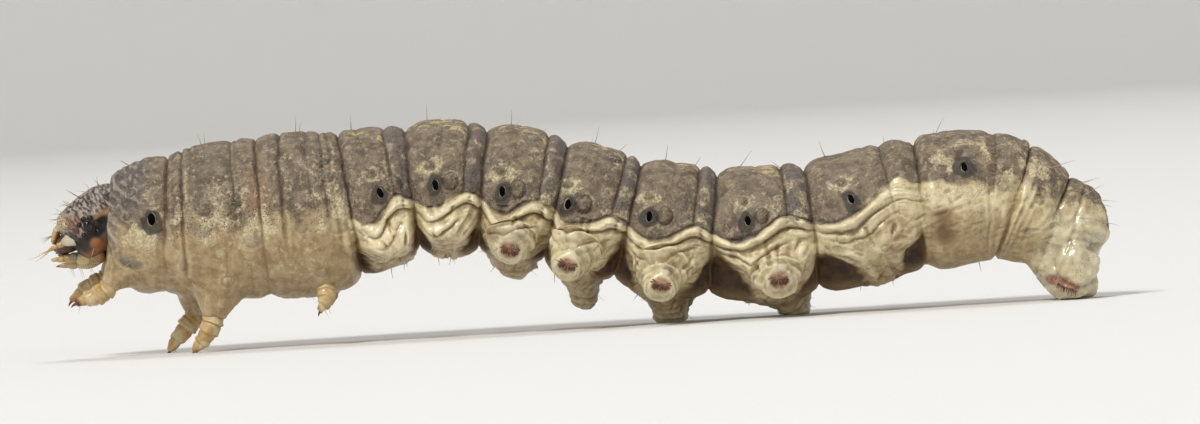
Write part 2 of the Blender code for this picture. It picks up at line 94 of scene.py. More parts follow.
def normed(vectors):
    # the same directions with length 1
    return vectors / np.linalg.norm(vectors, axis=-1, keepdims=True)


def latticeNoise(spot):
    cell = np.floor(spot)
    x, y, z = smoothed((spot - cell).T)
    key = cell.astype(np.int64) @ np.array([1, stepY, stepZ])
    wrap = len(lattice) - 1
    layers = []
    for step in (0, stepY, stepZ, stepY + stepZ):
        near, far = lattice[(key + step) & wrap], lattice[(key + step + 1) & wrap]
        layers.append(near + x * (far - near))
    low = layers[0] + y * (layers[1] - layers[0])
    high = layers[2] + y * (layers[3] - layers[2])
    return low + z * (high - low)


def noiseAt(points, size, seed=0):
    # smooth values from about -1 to 1 that vary over the given size, the same on each run
    return 0.75 * sum(latticeNoise(points @ turn / size + seed * 17.31) for turn in noiseTurns)


def jitter(points, size, seeds):
    # noise in three directions
    return np.stack([noiseAt(points, size, seed) for seed in seeds], axis=1)


def furrows(points, size, seed, low=0.05, high=0.75):
    # soft troughs. points are squeezed along the way in which the troughs run
    return ramp(low, high, noiseAt(points, size, seed))


def relax(points, edges, weight, rounds):
    # moves each point towards the middle of its neighbours
    a, b = edges.T
    size = len(points)
    count = np.bincount(edges.ravel(), minlength=size)[:, None]
    for step in range(rounds):
        total = np.stack([np.bincount(a, points[b, k], size) + np.bincount(b, points[a, k], size)
                          for k in range(3)], axis=1)
        points = points + weight[:, None] * (total / count - points)
    return points


def newObject(name, mesh, materials=()):
    piece = bpy.data.objects.new(name, mesh)
    bpy.context.scene.collection.objects.link(piece)
    for material in materials:
        mesh.materials.append(material)
    return piece


def applied(piece):
    # the mesh as its modifiers leave it
    bpy.context.view_layer.update()
    mesh = bpy.data.meshes.new_from_object(piece.evaluated_get(bpy.context.evaluated_depsgraph_get()))
    piece.modifiers.clear()
    piece.data = mesh
    return mesh


def readRows(items, key, width, kind=float):
    flat = np.zeros(len(items) * width, kind)
    items.foreach_get(key, flat)
    return flat.reshape(-1, width)


def readPoints(mesh):
    return readRows(mesh.vertices, "co", 3) / mm


def readNormals(mesh):
    return readRows(mesh.vertex_normals, "vector", 3)


def readEdges(mesh):
    return readRows(mesh.edges, "vertices", 2, int)


def writePoints(mesh, points):
    mesh.vertices.foreach_set("co", (points * mm).astype(np.float32).ravel())
    mesh.update()


def paint(mesh, name, values):
    mesh.attributes.new(name, "FLOAT", "POINT").data.foreach_set("value", values.astype(np.float32))


def paintAll(mesh, masks):
    for name, values in masks.items():
        paint(mesh, name, np.clip(values, 0, 1))
    mesh.shade_smooth()


def meshFrom(build, name):
    mesh = bpy.data.meshes.new(name)
    build.to_mesh(mesh)
    build.free()
    return mesh


def atLeast(masks, name, values):
    masks[name] = np.maximum(masks[name], values)


class Pile:
    # points and faces of many small shapes that become one mesh
    floor = 0.002     # nothing reaches lower

    def __init__(self):
        self.points = []
        self.faces = []
        self.shades = []     # one number for each point, which the materials read as "band"
        self.looks = []      # material number of each face
        self.roots = []      # place on the bake map for each point, where there is one

    def add(self, shape, shade=0.0, look=0, roots=()):
        points, faces = shape
        start = len(self.points)
        self.points.extend(map(tuple, points))
        self.faces.extend(tuple(start + i for i in face) for face in faces)
        self.shades.extend(np.broadcast_to(shade, len(points)))
        self.looks.extend([look] * len(faces))
        self.roots.extend(map(tuple, roots))

    def build(self, name, materials):
        mesh = bpy.data.meshes.new(name)
        points = np.array(self.points) * mm
        points[:, 2] = np.maximum(points[:, 2], self.floor * mm)
        mesh.from_pydata(points.tolist(), [], self.faces)
        mesh.polygons.foreach_set("material_index", self.looks)
        mesh.polygons.foreach_set("use_smooth", [True] * len(self.faces))
        paint(mesh, "band", np.array(self.shades))
        if self.roots:
            corners = readRows(mesh.loops, "vertex_index", 1, int)[:, 0]
            bakeMap = mesh.uv_layers.new(name="OFBake")
            bakeMap.data.foreach_set("uv", np.array(self.roots)[corners].ravel())
        mesh.validate()
        return newObject(name, mesh, materials)


def ringFaces(rings, sides):
    # faces between rings of equally many points, with a fan over each end
    faces = []
    for i in range(rings - 1):
        for j in range(sides):
            k = (j + 1) % sides
            faces.append((i * sides + j, i * sides + k, (i + 1) * sides + k, (i + 1) * sides + j))
    faces.append(tuple(range(sides - 1, -1, -1)))
    faces.append(tuple((rings - 1) * sides + j for j in range(sides)))
    return faces


def tube(line, radii, sides=12, side=(0, 1, 0)):
    # rings round a bent line. side is any direction across it
    line = np.array(line, float)
    radii = np.broadcast_to(radii, len(line))
    along = normed(np.gradient(line, axis=0))
    first = normed(np.cross(along, np.array(side, float)))
    second = np.cross(along, first)
    turn = circle(sides)
    rings = (line[:, None] + radii[:, None, None] * (
        first[:, None] * np.cos(turn)[None, :, None] + second[:, None] * np.sin(turn)[None, :, None]))
    return rings.reshape(-1, 3), ringFaces(len(line), sides)


def bent(points, count):
    # a smooth line through a few points
    knots = np.array(points, float)
    spot = np.linspace(0, len(knots) - 1, count)
    return np.stack([smoothRow(knots[:, k], spot) for k in range(3)], axis=1)


def smoothRow(values, place):
    # reads a smooth curve through evenly numbered values
    values = np.asarray(values, float)
    last = len(values) - 1
    place = np.clip(place, 0, last)
    i = np.minimum(place.astype(int), last - 1)
    f = place - i
    a, b, c, d = values[np.maximum(i - 1, 0)], values[i], values[i + 1], values[np.minimum(i + 2, last)]
    return b + 0.5 * f * (c - a + f * (2 * a - 5 * b + 4 * c - d + f * (3 * (b - c) + d - a)))


def ball(centre, size, axes=np.eye(3), around=20, along=12):
    # an ellipsoid with its half sizes along the rows of axes
    tilt = np.linspace(-math.pi / 2, math.pi / 2, along)
    turn = circle(around)
    width = np.maximum(np.cos(tilt), 0.02)
    local = np.stack([np.outer(width, np.cos(turn)), np.outer(width, np.sin(turn)),
                      np.outer(np.sin(tilt), np.ones(around))], axis=2).reshape(-1, 3)
    return np.array(centre) + (local * size) @ axes, ringFaces(along, around)


# Shader nodes

class Wire:
    # a socket that can be used in sums
    def __init__(self, shade, socket):
        self.shade = shade
        self.socket = socket

    def maths(self, operation, *values):
        return self.shade.node("ShaderNodeMath", {"operation": operation}, dict(enumerate(values)))

    def __add__(self, other):
        return self.maths("ADD", self, other)

    def __sub__(self, other):
        return self.maths("SUBTRACT", self, other)

    def __rsub__(self, other):
        return self.maths("SUBTRACT", other, self)

    def __mul__(self, other):
        return self.maths("MULTIPLY", self, other)

    __radd__ = __add__
    __rmul__ = __mul__

    def between(self, low, high):
        # 0 under low and 1 over high, smooth in between
        return self.shade.node("ShaderNodeMapRange", {"interpolation_type": "SMOOTHSTEP"},
                               {"Value": self, "From Min": low, "From Max": high})


class Shade:
    # one material and the nodes in it
    def __init__(self, name, **fixed):
        self.material = bpy.data.materials.new(name)
        self.material.use_nodes = True
        self.tree = self.material.node_tree
        self.surface = self.tree.nodes["Principled BSDF"]
        for socket, value in fixed.items():
            self.surface.inputs[socket.replace("_", " ")].default_value = value

    def node(self, kind, settings, values, out=0):
        node = self.tree.nodes.new(kind)
        for key, value in settings.items():
            setattr(node, key, value)
        for key, value in values.items():
            if isinstance(value, Wire):
                self.tree.links.new(value.socket, node.inputs[key])
            else:
                node.inputs[key].default_value = value
        return Wire(self, node.outputs[out])

    def mix(self, factor, first, second):
        # tones are wires or red, green and blue
        first, second = (rgb(*tone) if isinstance(tone, tuple) else tone for tone in (first, second))
        return self.node("ShaderNodeMix", {"data_type": "RGBA"}, {0: factor, 6: first, 7: second}, out=2)

    def mask(self, name):
        return self.node("ShaderNodeAttribute", {"attribute_name": name}, {}, out="Fac")

    def millimetres(self):
        where = self.node("ShaderNodeTexCoord", {}, {}, out="Object")
        return self.node("ShaderNodeVectorMath", {"operation": "MULTIPLY"}, {0: where, 1: (1 / mm,) * 3})

    def noise(self, where, scale, detail=3.0, roughness=0.55):
        return self.node("ShaderNodeTexNoise", {}, {"Vector": where, "Scale": scale, "Detail": detail,
                                                    "Roughness": roughness})

    def grains(self, where, scale):
        return self.node("ShaderNodeTexVoronoi", {}, {"Vector": where, "Scale": scale}, out="Distance")

    def bump(self, height, depth, strength=1.0):
        return self.node("ShaderNodeBump", {}, {"Height": height, "Distance": depth * mm,
                                                "Strength": strength}, out="Normal")

    def feed(self, **wires):
        for socket, wire in wires.items():
            self.tree.links.new(wire.socket, self.surface.inputs[socket.replace("_", " ")])
        return self.material


def rgb(red, green, blue):
    return (red, green, blue, 1.0)


# Body shape: the same sizes as the solids have

body = {
    "neck": (-18.385, 5.35),      # x and z of the middle line behind the head
    "middleY": 0.28,
    "collarEnd": 0.62,            # share of the first segment
    "collarLoss": 0.30,
    "tailStart": 0.30,            # share of the last segment
    # run along X, height of the middle line at the rear fold, back, belly, side,
    # turn of the belly to the left, depth of the rear fold, depth of the crease before it
    "segments": (
        (2.24, 5.12, 2.55, 2.72, 2.35, 2, 0.14, 0.00),
        (3.83, 5.20, 3.08, 3.05, 2.85, 3, 0.12, 0.08),
        (3.56, 5.38, 3.20, 3.38, 3.00, 4, 0.20, 0.10),
        (2.38, 5.80, 2.88, 2.66, 2.85, 6, 0.26, 0.12),
        (2.78, 5.65, 2.78, 2.72, 2.75, 9, 0.28, 0.14),
        (2.85, 5.02, 2.72, 2.72, 2.72, 12, 0.28, 0.14),
        (2.78, 4.08, 2.66, 2.80, 2.70, 15, 0.28, 0.14),
        (3.27, 3.30, 2.74, 2.72, 2.72, 17, 0.28, 0.14),
        (3.95, 3.25, 2.84, 2.68, 2.78, 19, 0.26, 0.14),
        (4.35, 3.95, 2.82, 2.62, 2.76, 16, 0.26, 0.12),
        (3.64, 3.90, 2.78, 2.50, 2.60, 12, 0.14, 0.06),
        (1.50, 3.10, 2.22, 2.20, 2.25, 8, 0.12, 0.00),
        (2.05, 2.25, 1.84, 1.86, 1.85, 5, 0.00, 0.00),
    ),
    # rounded lobes of the tail, start and end: x, distance from the middle, z, radius
    "tailLobes": (((17.75, 0.55, 2.80, 1.05), (19.10, 1.00, 0.62, 0.74)),
                  ((19.90, 0.45, 2.80, 0.60), (20.40, 0.52, 2.45, 0.56)),
                  ((19.60, 1.02, 1.50, 0.72), (19.98, 1.10, 1.42, 0.52))),
    # folds cut into the tail's sides: x and z at the ends, depth, width
    "tailFolds": (((20.75, 1.80), (20.05, 2.02), 0.20, 0.16), ((20.90, 2.52), (20.10, 2.78), -0.06, 0.16),
                  ((20.65, 2.20), (20.25, 2.35), 0.08, 0.24), ((18.50, 1.35), (19.30, 1.45), 0.05, 0.14),
                  ((19.95, 0.90), (20.30, 1.50), -0.06, 0.12), ((18.95, 1.95), (19.75, 2.05), 0.05, 0.16)),
    "voxel": 0.10,
    "joinWidth": 0.45,
}
runs, rearHeights, backs, bellies, sides, rolls, folds, creases = np.array(body["segments"]).T
last = len(runs)
knotX = body["neck"][0] + np.concatenate([[0.0], np.cumsum(runs)])
knotZ = np.concatenate([[body["neck"][1]], rearHeights])
slopes = np.diff(knotZ) / np.diff(knotX)
inner = (slopes[:-1] * runs[1:] + slopes[1:] * runs[:-1]) / (runs[:-1] + runs[1:])
knotSlopes = np.concatenate([slopes[:1], inner, slopes[-1:]])


def spineAt(place):
    # point on the middle line: place 0 is the neck, 1 the first fold
    i = np.clip(place.astype(int), 0, last - 1)
    f = place - i
    run = runs[i]
    height = (knotZ[i] * (1 + 2 * f) * (1 - f) ** 2 + knotZ[i + 1] * (3 - 2 * f) * f ** 2
              + knotSlopes[i] * run * f * (1 - f) ** 2 - knotSlopes[i + 1] * run * (1 - f) * f ** 2)
    return np.stack([knotX[i] + f * run, np.full_like(f, body["middleY"]), height], axis=-1)


def frameAt(place):
    # middle point, direction to the tail, back and left side
    place = np.asarray(place, float)
    along = normed(spineAt(np.minimum(place + 0.02, last)) - spineAt(np.maximum(place - 0.02, 0.0)))
    roll = np.radians(smoothRow(rolls, place - 0.5))
    back = np.stack([-along[..., 2] * np.cos(roll), np.sin(roll), along[..., 0] * np.cos(roll)], axis=-1)
    return spineAt(place), along, back, np.cross(along, back)


def endFactor(place):
    # narrows the collar behind the head and closes the tail
    collar = np.clip(1 - place / body["collarEnd"], 0, 1)
    tail = np.clip((place - (last - 1) - body["tailStart"]) / (1 - body["tailStart"]), 0, 1)
    lip = 0.05 * np.clip(1 - place / 0.05, 0, 1) ** 2
    return (1 - body["collarLoss"] * collar ** 1.6 - lip) * np.sqrt(1 - tail ** 2)


def plainSkin(place, angle):
    # the body without its folds
    centre, along, back, left = frameAt(place)
    turn = np.radians(angle)
    up = np.where(np.cos(turn) > 0, smoothRow(backs, place - 0.5), smoothRow(bellies, place - 0.5))
    side = smoothRow(sides, place - 0.5)
    arm = back * (up * np.cos(turn))[..., None] + left * (side * np.sin(turn))[..., None]
    return centre + arm * endFactor(place)[..., None]


def findPlace(points):
    # place and angle on the body of each point, and its distance from the middle line
    place = np.interp(points[:, 0], knotX, np.arange(last + 1.0))
    for step in range(9):
        centre, along, back, left = frameAt(place)
        off = ((points - centre) * along).sum(axis=1)
        place = np.clip(place + 0.8 * off / runs[np.clip(place.astype(int), 0, last - 1)], 0.0, last)
    centre, along, back, left = frameAt(place)
    arm = points - centre
    up, out = (arm * back).sum(axis=1), (arm * left).sum(axis=1)
    return place, np.degrees(np.arctan2(out, up)), np.hypot(up, out)


# Fleshy legs. side is 1 for left, seat and reach are distances from the middle line down the leg,
# and root and foot are radii

Proleg = namedtuple("Proleg", "segment side share lean seat reach root foot")
prolegs = {
    "angle": 37,
    "rows": (
        (5, 1, 0.50, 0.0, 2.52, 3.62, 1.00, 0.50), (5, -1, 0.50, 0.3, 2.52, 3.50, 1.00, 0.48),
        (6, 1, 0.44, -0.2, 2.56, 4.00, 1.05, 0.52), (6, -1, 0.58, 0.5, 2.56, 4.00, 1.02, 0.48),
        (7, 1, 0.50, 0.0, 2.56, 4.05, 1.10, 0.55), (7, -1, 0.54, 0.6, 2.52, 4.10, 1.06, 0.54),
        (8, 1, 0.58, 0.2, 2.52, 3.50, 1.10, 0.58), (8, -1, 0.62, 0.8, 2.44, 3.50, 1.06, 0.54),
    ),
    # share of the way from the seat to the sole, and radius as a share of root or foot
    "profile": ((-1.3, 1.16, 0), (-0.4, 1.06, 0), (0.05, 0.97, 0), (0.35, 0.86, 0), (0.62, 1.34, 1),
                (0.80, 1.22, 1), (0.93, 1.08, 1), (1.0, 0.84, 1)),
}
# hip and seat of each true leg's fleshy base, with their radii, for the left side in y
hips = (
    ((-17.525, -0.52, 3.9), (-18.445, -0.70, 2.86), 0.95, 0.46),
    ((-17.625, 1.08, 4.1), (-18.625, 1.26, 3.18), 0.95, 0.46),
    ((-13.975, -0.57, 3.3), (-14.445, -0.78, 1.42), 1.60, 0.54),
    ((-14.975, 1.13, 3.3), (-15.285, 1.34, 1.52), 1.60, 0.54),
    ((-10.425, -0.52, 4.0), (-9.965, -1.28, 2.36), 1.20, 0.50),
    ((-10.425, 1.08, 4.0), (-9.965, 1.84, 2.36), 1.20, 0.50),
)
prolegRows = [Proleg(*row) for row in prolegs["rows"]]
claspers = {
    "hip": (19.125, 0.70, 2.55), "top": (19.435, 0.98, 1.22), "foot": (19.475, 1.08, 0.0),
    "radii": (0.98, 0.94, 0.90, 0.72),
    "knob": (19.58, 1.42, 0.90),               # x, z, radius
    "crescent": (18.45, 0.80, 0.95, -0.36),    # x and z at its front, and the way to its rear end
    "comb": (18.48, 0.66, 0.90, -0.36),
}


def prolegAxis(row):
    centre, along, back, left = frameAt(row.segment + row.share)
    turn = math.radians(prolegs["angle"])
    down = left * (row.side * math.sin(turn)) - back * math.cos(turn)
    tip = down * row.reach + along * row.lean
    return centre, normed(tip), np.linalg.norm(tip), along


def baseSkin():
    # trunk, fleshy legs and hips as one closed surface
    pile = Pile()
    # the rings come closer together at the round tail
    tail = last - 0.7 * (1 - np.linspace(0.02, 0.995, 40) ** 0.5)
    places = np.concatenate([np.linspace(0, last - 0.7, 380), tail])
    angles = np.linspace(-180, 180, 96, endpoint=False)
    rings = plainSkin(np.repeat(places, len(angles)), np.tile(angles, len(places)))
    pile.add((rings, ringFaces(len(places), len(angles))))
    for row in prolegRows:
        centre, down, reach, along = prolegAxis(row)
        heights = [row.seat + share * (reach - row.seat) for share, size, end in prolegs["profile"]]
        radii = [size * (row.foot if end else row.root) for share, size, end in prolegs["profile"]]
        pile.add(tube([centre + down * height for height in heights], radii, 32, side=along))
    for hip, seat, hipRadius, seatRadius in hips:
        end = seat + normed(np.subtract(seat, hip)) * 0.16
        pile.add(tube([hip, seat], [hipRadius, seatRadius], 28))
        pile.add(tube([seat, end], [seatRadius, seatRadius * 0.72], 28))
    for side in (-1, 1):
        hip, top, foot = (np.array([x, body["middleY"] + side * y, z])
                          for x, y, z in (claspers["hip"], claspers["top"], claspers["foot"]))
        for lobe in body["tailLobes"]:
            (x, aside, z, radius), (endX, endAside, endZ, endRadius) = lobe
            ends = [(x, body["middleY"] + side * aside, z), (endX, body["middleY"] + side * endAside, endZ)]
            pile.add(tube(ends, (radius, endRadius), 32))
            for end, size in zip(ends, (radius, endRadius)):
                pile.add(ball(end, np.full(3, size), around=32, along=20))
        line = [hip, top, top + (foot - top) * 0.6, foot]
        pile.add(tube(line, claspers["radii"], 32))
    piece = pile.build("larva_skin", ())
    union = piece.modifiers.new("Union", "REMESH")
    union.mode = "VOXEL"
    union.voxel_size = body["voxel"] * mm
    mesh = applied(piece)
    points = readPoints(mesh)
    writePoints(mesh, relax(points, readEdges(mesh), joinWeight(points), 30))
    finer = piece.modifiers.new("Finer", "SUBSURF")
    finer.levels = finer.render_levels = 1
    applied(piece)
    return piece


def joinWeight(points):
    # where a leg meets the trunk, for the smoothing there
    place, angle, reachOut = findPlace(points)
    outside = np.maximum(reachOut - np.linalg.norm(plainSkin(place, angle) - frameAt(place)[0], axis=1), 0)
    nearest = np.full(len(points), 9.0)
    for row in prolegRows:
        centre, down, reach, along = prolegAxis(row)
        height = (points - centre) @ down
        radius = np.linalg.norm(points - centre - height[:, None] * down, axis=1)
        near = np.where((height > row.seat - 1) & (height < reach + 0.1), np.abs(radius - row.root), 9.0)
        nearest = np.minimum(nearest, near)
    for hip, seat, hipRadius, seatRadius in hips:
        axis = np.array(seat) - hip
        share = np.clip((points - hip) @ axis / (axis @ axis), 0, 1)
        radius = np.linalg.norm(points - hip - share[:, None] * axis, axis=1)
        nearest = np.minimum(nearest, np.abs(radius - hipRadius - share * (seatRadius - hipRadius)))
    width = body["joinWidth"]
    return 0.12 + 0.6 * bell(outside, width * 1.4) * bell(nearest, width * 1.4)


skin = baseSkin()
print("skin joined:", len(skin.data.polygons), "faces")


# Folds, plates and colours of the skin

marks = {
    # segment: share and angle of the breathing hole, share of the lobe's middle,
    # share and angle of the rear plate
    3: ((0.52, 91), 0.50, (0.62, 46)),
    4: ((0.35, 94), 0.50, (0.60, 46)),
    5: ((0.27, 99), 0.50, (0.59, 47)),
    6: ((0.16, 102), 0.44, (0.59, 45)),
    7: ((0.22, 97), 0.50, (0.63, 41)),
    8: ((0.35, 94), 0.60, (0.74, 32)),
    9: ((0.40, 85), 0.52, (0.78, 40)),
    10: ((0.49, 71), 0.50, (0.74, 50)),
}
folding = {
    "cutWidth": 0.065, "cutDepth": 0.15,
    "broadWidth": 0.34,
    "creaseAt": 0.75, "creaseWidth": 0.20,
    "ropeAngles": (112, 112, 112, 109, 111, 115, 115, 113, 107, 98, 90, 90, 90),
    "ropeHeights": (0, 0, 0, 0.17, 0.23, 0.26, 0.26, 0.26, 0.26, 0.14, 0, 0, 0),
    "ropeWidth": 0.165,
    # extra folds: place, depth, width, lowest angle that they reach
    "extra": ((1.20, 0.13, 0.08, 150), (1.30, 0.05, 0.10, 90), (1.80, 0.06, 0.09, 120),
              (2.26, 0.13, 0.09, 125), (2.58, 0.06, 0.10, 100), (2.84, 0.08, 0.10, 130),
              (3.40, 0.04, 0.08, 80), (4.42, 0.04, 0.09, 85), (5.40, 0.04, 0.09, 85),
              (6.40, 0.04, 0.09, 85), (7.42, 0.04, 0.09, 85), (8.48, 0.03, 0.10, 80),
              (9.62, 0.03, 0.10, 70), (10.30, 0.03, 0.10, 120), (10.72, 0.07, 0.10, 160),
              (11.55, 0.05, 0.10, 160), (12.35, 0.07, 0.09, 170)),
}


def ropeAngleAt(place):
    base = smoothRow(folding["ropeAngles"], place - 0.5)
    return base + 6.5 * np.cos(fullTurn * (place - 0.28))


def around(here, place, angle):
    # offsets from a spot on the skin, along the body and round it
    run = runs[min(int(place), last - 1)]
    across = (here.angle - angle + 180) % 360 - 180
    return (here.place - place) * run, across * here.degree


def foldSkin(here):
    place, angle, low, points = here.place, here.angle, here.low, here.points
    wander = 0.06 * noiseAt(points, 1.3, 1) + 0.03 * noiseAt(points, 0.5, 2)
    upper = 0.5 + 0.5 * np.cos(np.radians(angle))
    grow = np.zeros(len(place))
    for i in range(last):
        off = (place - i - 1) * runs[i] + wander
        if folds[i]:
            sharp = 1 - 0.75 * (ramp(60, 100, low) if i > 8 else ramp(92, 125, low) * (i < 2))
            line = sharp * bell(off, folding["cutWidth"])
            grow -= folds[i] * bell(off, folding["broadWidth"]) + folding["cutDepth"] * line
        if creases[i]:
            off = (place - i - folding["creaseAt"]) * runs[i] + wander
            line = bell(off, 0.05) * fade(94, 108, low) * (1.0 if 3 <= i <= 8 else 0.5)
            grow -= creases[i] * upper * bell(off, folding["creaseWidth"]) + 0.10 * line
    for spot, depth, width, reach in folding["extra"]:
        off = (place - spot) * runs[int(spot)] + 1.5 * wander
        grow -= depth * bell(off, width) * fade(reach - 20, reach, low)
    return grow


def ropeSkin(here):
    # the wavy fold of skin under the breathing holes, and the one beneath it
    points, place, low, degree = here.points, here.place, here.low, here.degree
    share = place % 1.0
    height = smoothRow(folding["ropeHeights"], place - 0.5) * (place > 2.95) * (place < 10.05)
    strength = height * np.sin(math.pi * np.clip(share, 0.03, 0.97)) ** 0.45
    strength = strength * (1.1 + 0.40 * noiseAt(points, 0.55, 4) + 0.15 * noiseAt(points, 0.2, 26))
    off = (low - ropeAngleAt(place)) * degree
    off = off + 0.12 * noiseAt(points, 0.75, 3) + 0.04 * noiseAt(points, 0.3, 8)
    width = folding["ropeWidth"]
    grooves = 0.95 * bell(off - 0.23, 0.055) + 0.40 * bell(off + 0.27, 0.07)
    grow = strength * (bell(off + 0.02, width) - grooves)
    second = bell(share - 0.40, 0.36)
    under = off + 0.10 * np.cos(fullTurn * (share - 0.1))
    grow += strength * second * (0.50 * bell(under - 0.45, 0.12) - 0.60 * bell(under - 0.64, 0.05))
    # fine pleats and small knobs at the rear end of the fold
    rear = bell(share - 0.86, 0.11) * bell(off - 0.05, 0.42)
    pleats = np.cos((off + 0.05 * noiseAt(points, 0.4, 9)) * fullTurn / 0.15)
    grow += height * rear * (0.30 * pleats + 0.50 * noiseAt(points, 0.26, 10))
    # a small knob of skin where the fold meets the next segment
    knob = np.hypot((share - 0.93) * 2.9, off - 0.02) + 0.06 * noiseAt(points, 0.3, 27)
    grow += height * (0.75 * bell(knob, 0.16) - 0.45 * bell(knob - 0.25, 0.06))
    grow += 0.6 * strength * bell(low - ropeAngleAt(place), 13)
    return grow, bell(off, width * 1.1) * (strength > 0.02)


def lobeSkin(here):
    # the side lobes over the legs, and the film sunk between them, dark partly in its own brown and partly as
    # painted shade between the lobes
    points, place, low = here.points, here.place, here.low
    form, tone, grow = (np.zeros(len(place)) for k in range(3))
    below = window(2.90, 3.04, 9.95, 10.0, place)
    for i, (hole, middle, knob) in marks.items():
        if i > 9:
            continue
        off = (place - i - middle) * runs[i]
        legged = 5 <= i <= 8
        half = runs[i] * (0.56 - 0.06 * ramp(112, 126, low))
        half = half + ((1.12 if legged else 0.95) - half) * ramp(120, 150, low)
        wobble = 0.09 * noiseAt(points, 0.55, i) + 0.03 * noiseAt(points, 0.2, i)
        edge = (np.abs(off) + wobble) / half + 0.35 * ramp(148, 175, low)
        form = np.maximum(form, np.sqrt(np.clip(fade(0.45, 1.30, edge), 0, 1)))
        tone = np.maximum(tone, fade(0.84, 1.22, edge + 0.10 * noiseAt(points, 0.35, i + 20)))
        # wrinkles that fan out from the foot, and a fold like an eyelid over each fleshy leg
        up = (low - 145) * here.degree
        reach, turn = np.hypot(off, up), np.arctan2(off, -up)
        fan = np.stack([turn * 4.2, reach * 0.9, np.full(len(off), i)], axis=1)
        spread = window(0.7, 1.0, 1.7, 2.4, reach) * (low > 110)
        pleat = spread * form * furrows(fan, 0.62, i)
        grow -= 0.17 * pleat
        if legged:
            lid = fade(0.8, 1.5, np.abs(turn))
            ring = reach + 0.07 * noiseAt(points, 0.6, i + 3)
            grow += lid * (0.09 * bell(ring - 1.10, 0.14) - 0.09 * bell(ring - 0.92, 0.06))
        grow += 0.12 * form * bell(low - 130, 13)
    lower = form * ramp(104, 112, low)
    grow += lower * (0.10 * noiseAt(points, 0.42, 15) + 0.03 * noiseAt(points, 0.16, 13))
    grow -= 0.09 * lower * furrows(points * np.array([0.45, 1.0, 1.0]), 0.26, 14)
    start = ramp(108, 124, low) * below
    grow -= start * (1 - form) * 0.50 * (1 - 0.75 * ramp(150, 175, low))
    # a brown hollow low at the front of the eighth segment, darkened with the film's colour, partly as
    # painted shade
    ragged = (place - 10.17) * runs[10] + 0.12 * noiseAt(points, 0.5, 34)
    recess = bell(ragged, 0.50) * (place > 10) * window(100, 113, 134, 152, low)
    grow -= 0.18 * recess
    shadedFilm = ramp(108, 118, low) * below * (1 - tone) * (1 - 0.40 * ramp(160, 178, low))
    shadedFilm *= 0.80 + 0.20 * ramp(116, 138, low + 5 * noiseAt(points, 0.8, 35))
    return grow, np.maximum(shadedFilm, 0.62 * recess)


def plateSkin(here, height, masks, place, angle, length, tall, lift, dark=1.0, pale=1.0):
    # a small horny dome, with a groove and some pale skin round it. the pale ring is brighter on its upper
    # side and round taller domes, which is painted highlight
    along, across = around(here, place, angle)
    r = np.hypot(along / length, across / tall) * (1 + 0.16 * here.ragged)
    height += lift * dome(r)
    height += 0.015 * bell(r - 1.5, 0.20) - 0.012 * bell(r - 1.15, 0.16)
    atLeast(masks, "plate", dark * fade(0.80, 1.08, r))
    # painted highlight: the pale ring weakens on the lower side and grows with the dome's height
    pale = pale * (1 - 0.7 * ramp(-0.15, 0.2, across * np.sign(angle))) * (0.8 + 2 * lift)
    atLeast(masks, "pale", pale * bell(r - 1.22, 0.24) * (0.8 + 0.4 * here.ragged))


def holeSkin(here, height, masks, place, angle, length=0.135, tall=0.235):
    along, across = around(here, place, angle)
    lean = along + 0.12 * across * np.sign(angle)
    r = np.hypot(lean / length, across / tall)
    height += 0.030 * bell(r - 1.25, 0.22) - 0.10 * fade(0.6, 1.0, r)
    atLeast(masks, "pit", fade(0.80, 0.98, r))
    blotch = np.hypot((along + 0.02) / 0.42, (across - 0.04 * np.sign(angle)) / 0.52)
    atLeast(masks, "dark", fade(0.60, 1.15, blotch + 0.45 * here.ragged))


# place, angle, half length, half height, lift and darkness of the plates in front of the abdomen
thoraxPlates = (
    (0.46, 131, 0.46, 0.26, 0.06, 1.1), (0.40, 60, 0.14, 0.14, 0.03, 0.6), (0.62, 84, 0.16, 0.12, 0.03, 0.9),
    (0.36, 85, 0.16, 0.12, 0.03, 0.9), (0.75, 52, 0.14, 0.12, 0.02, 0.6),
    (1.63, 59, 0.20, 0.22, 0.05, 0.9), (1.76, 79, 0.27, 0.25, 0.06, 0.9), (1.44, 83, 0.22, 0.20, 0.04, 0.8),
    (1.40, 100, 0.26, 0.22, 0.04, 0.6), (1.89, 110, 0.42, 0.30, 0.04, 0.5), (1.48, 36, 0.15, 0.15, 0.04, 0.7),
    (1.60, 142, 0.20, 0.18, 0.05, 0.3), (2.75, 53, 0.24, 0.22, 0.06, 0.8), (2.79, 67, 0.28, 0.24, 0.06, 0.8),
    (2.61, 87, 0.20, 0.20, 0.04, 0.8), (2.45, 104, 0.22, 0.20, 0.04, 0.5), (2.85, 108, 0.30, 0.24, 0.04, 0.5),
    (2.55, 36, 0.15, 0.15, 0.04, 0.7), (2.60, 142, 0.20, 0.18, 0.05, 0.3),
)
tailPlates = (
    (10.74, 70, 0.16, 0.16, 0.04, 0.9), (10.84, 87, 0.16, 0.18, 0.04, 0.8),
    (10.35, 38, 0.14, 0.14, 0.04, 0.7), (10.62, 110, 0.16, 0.14, 0.04, 0.5),
    (11.40, 45, 0.15, 0.15, 0.04, 0.7), (11.45, 85, 0.16, 0.16, 0.04, 0.7),
    (11.5, 120, 0.14, 0.14, 0.03, 0.5), (12.30, 40, 0.14, 0.14, 0.03, 0.6),
    (12.4, 95, 0.14, 0.14, 0.03, 0.5),
)


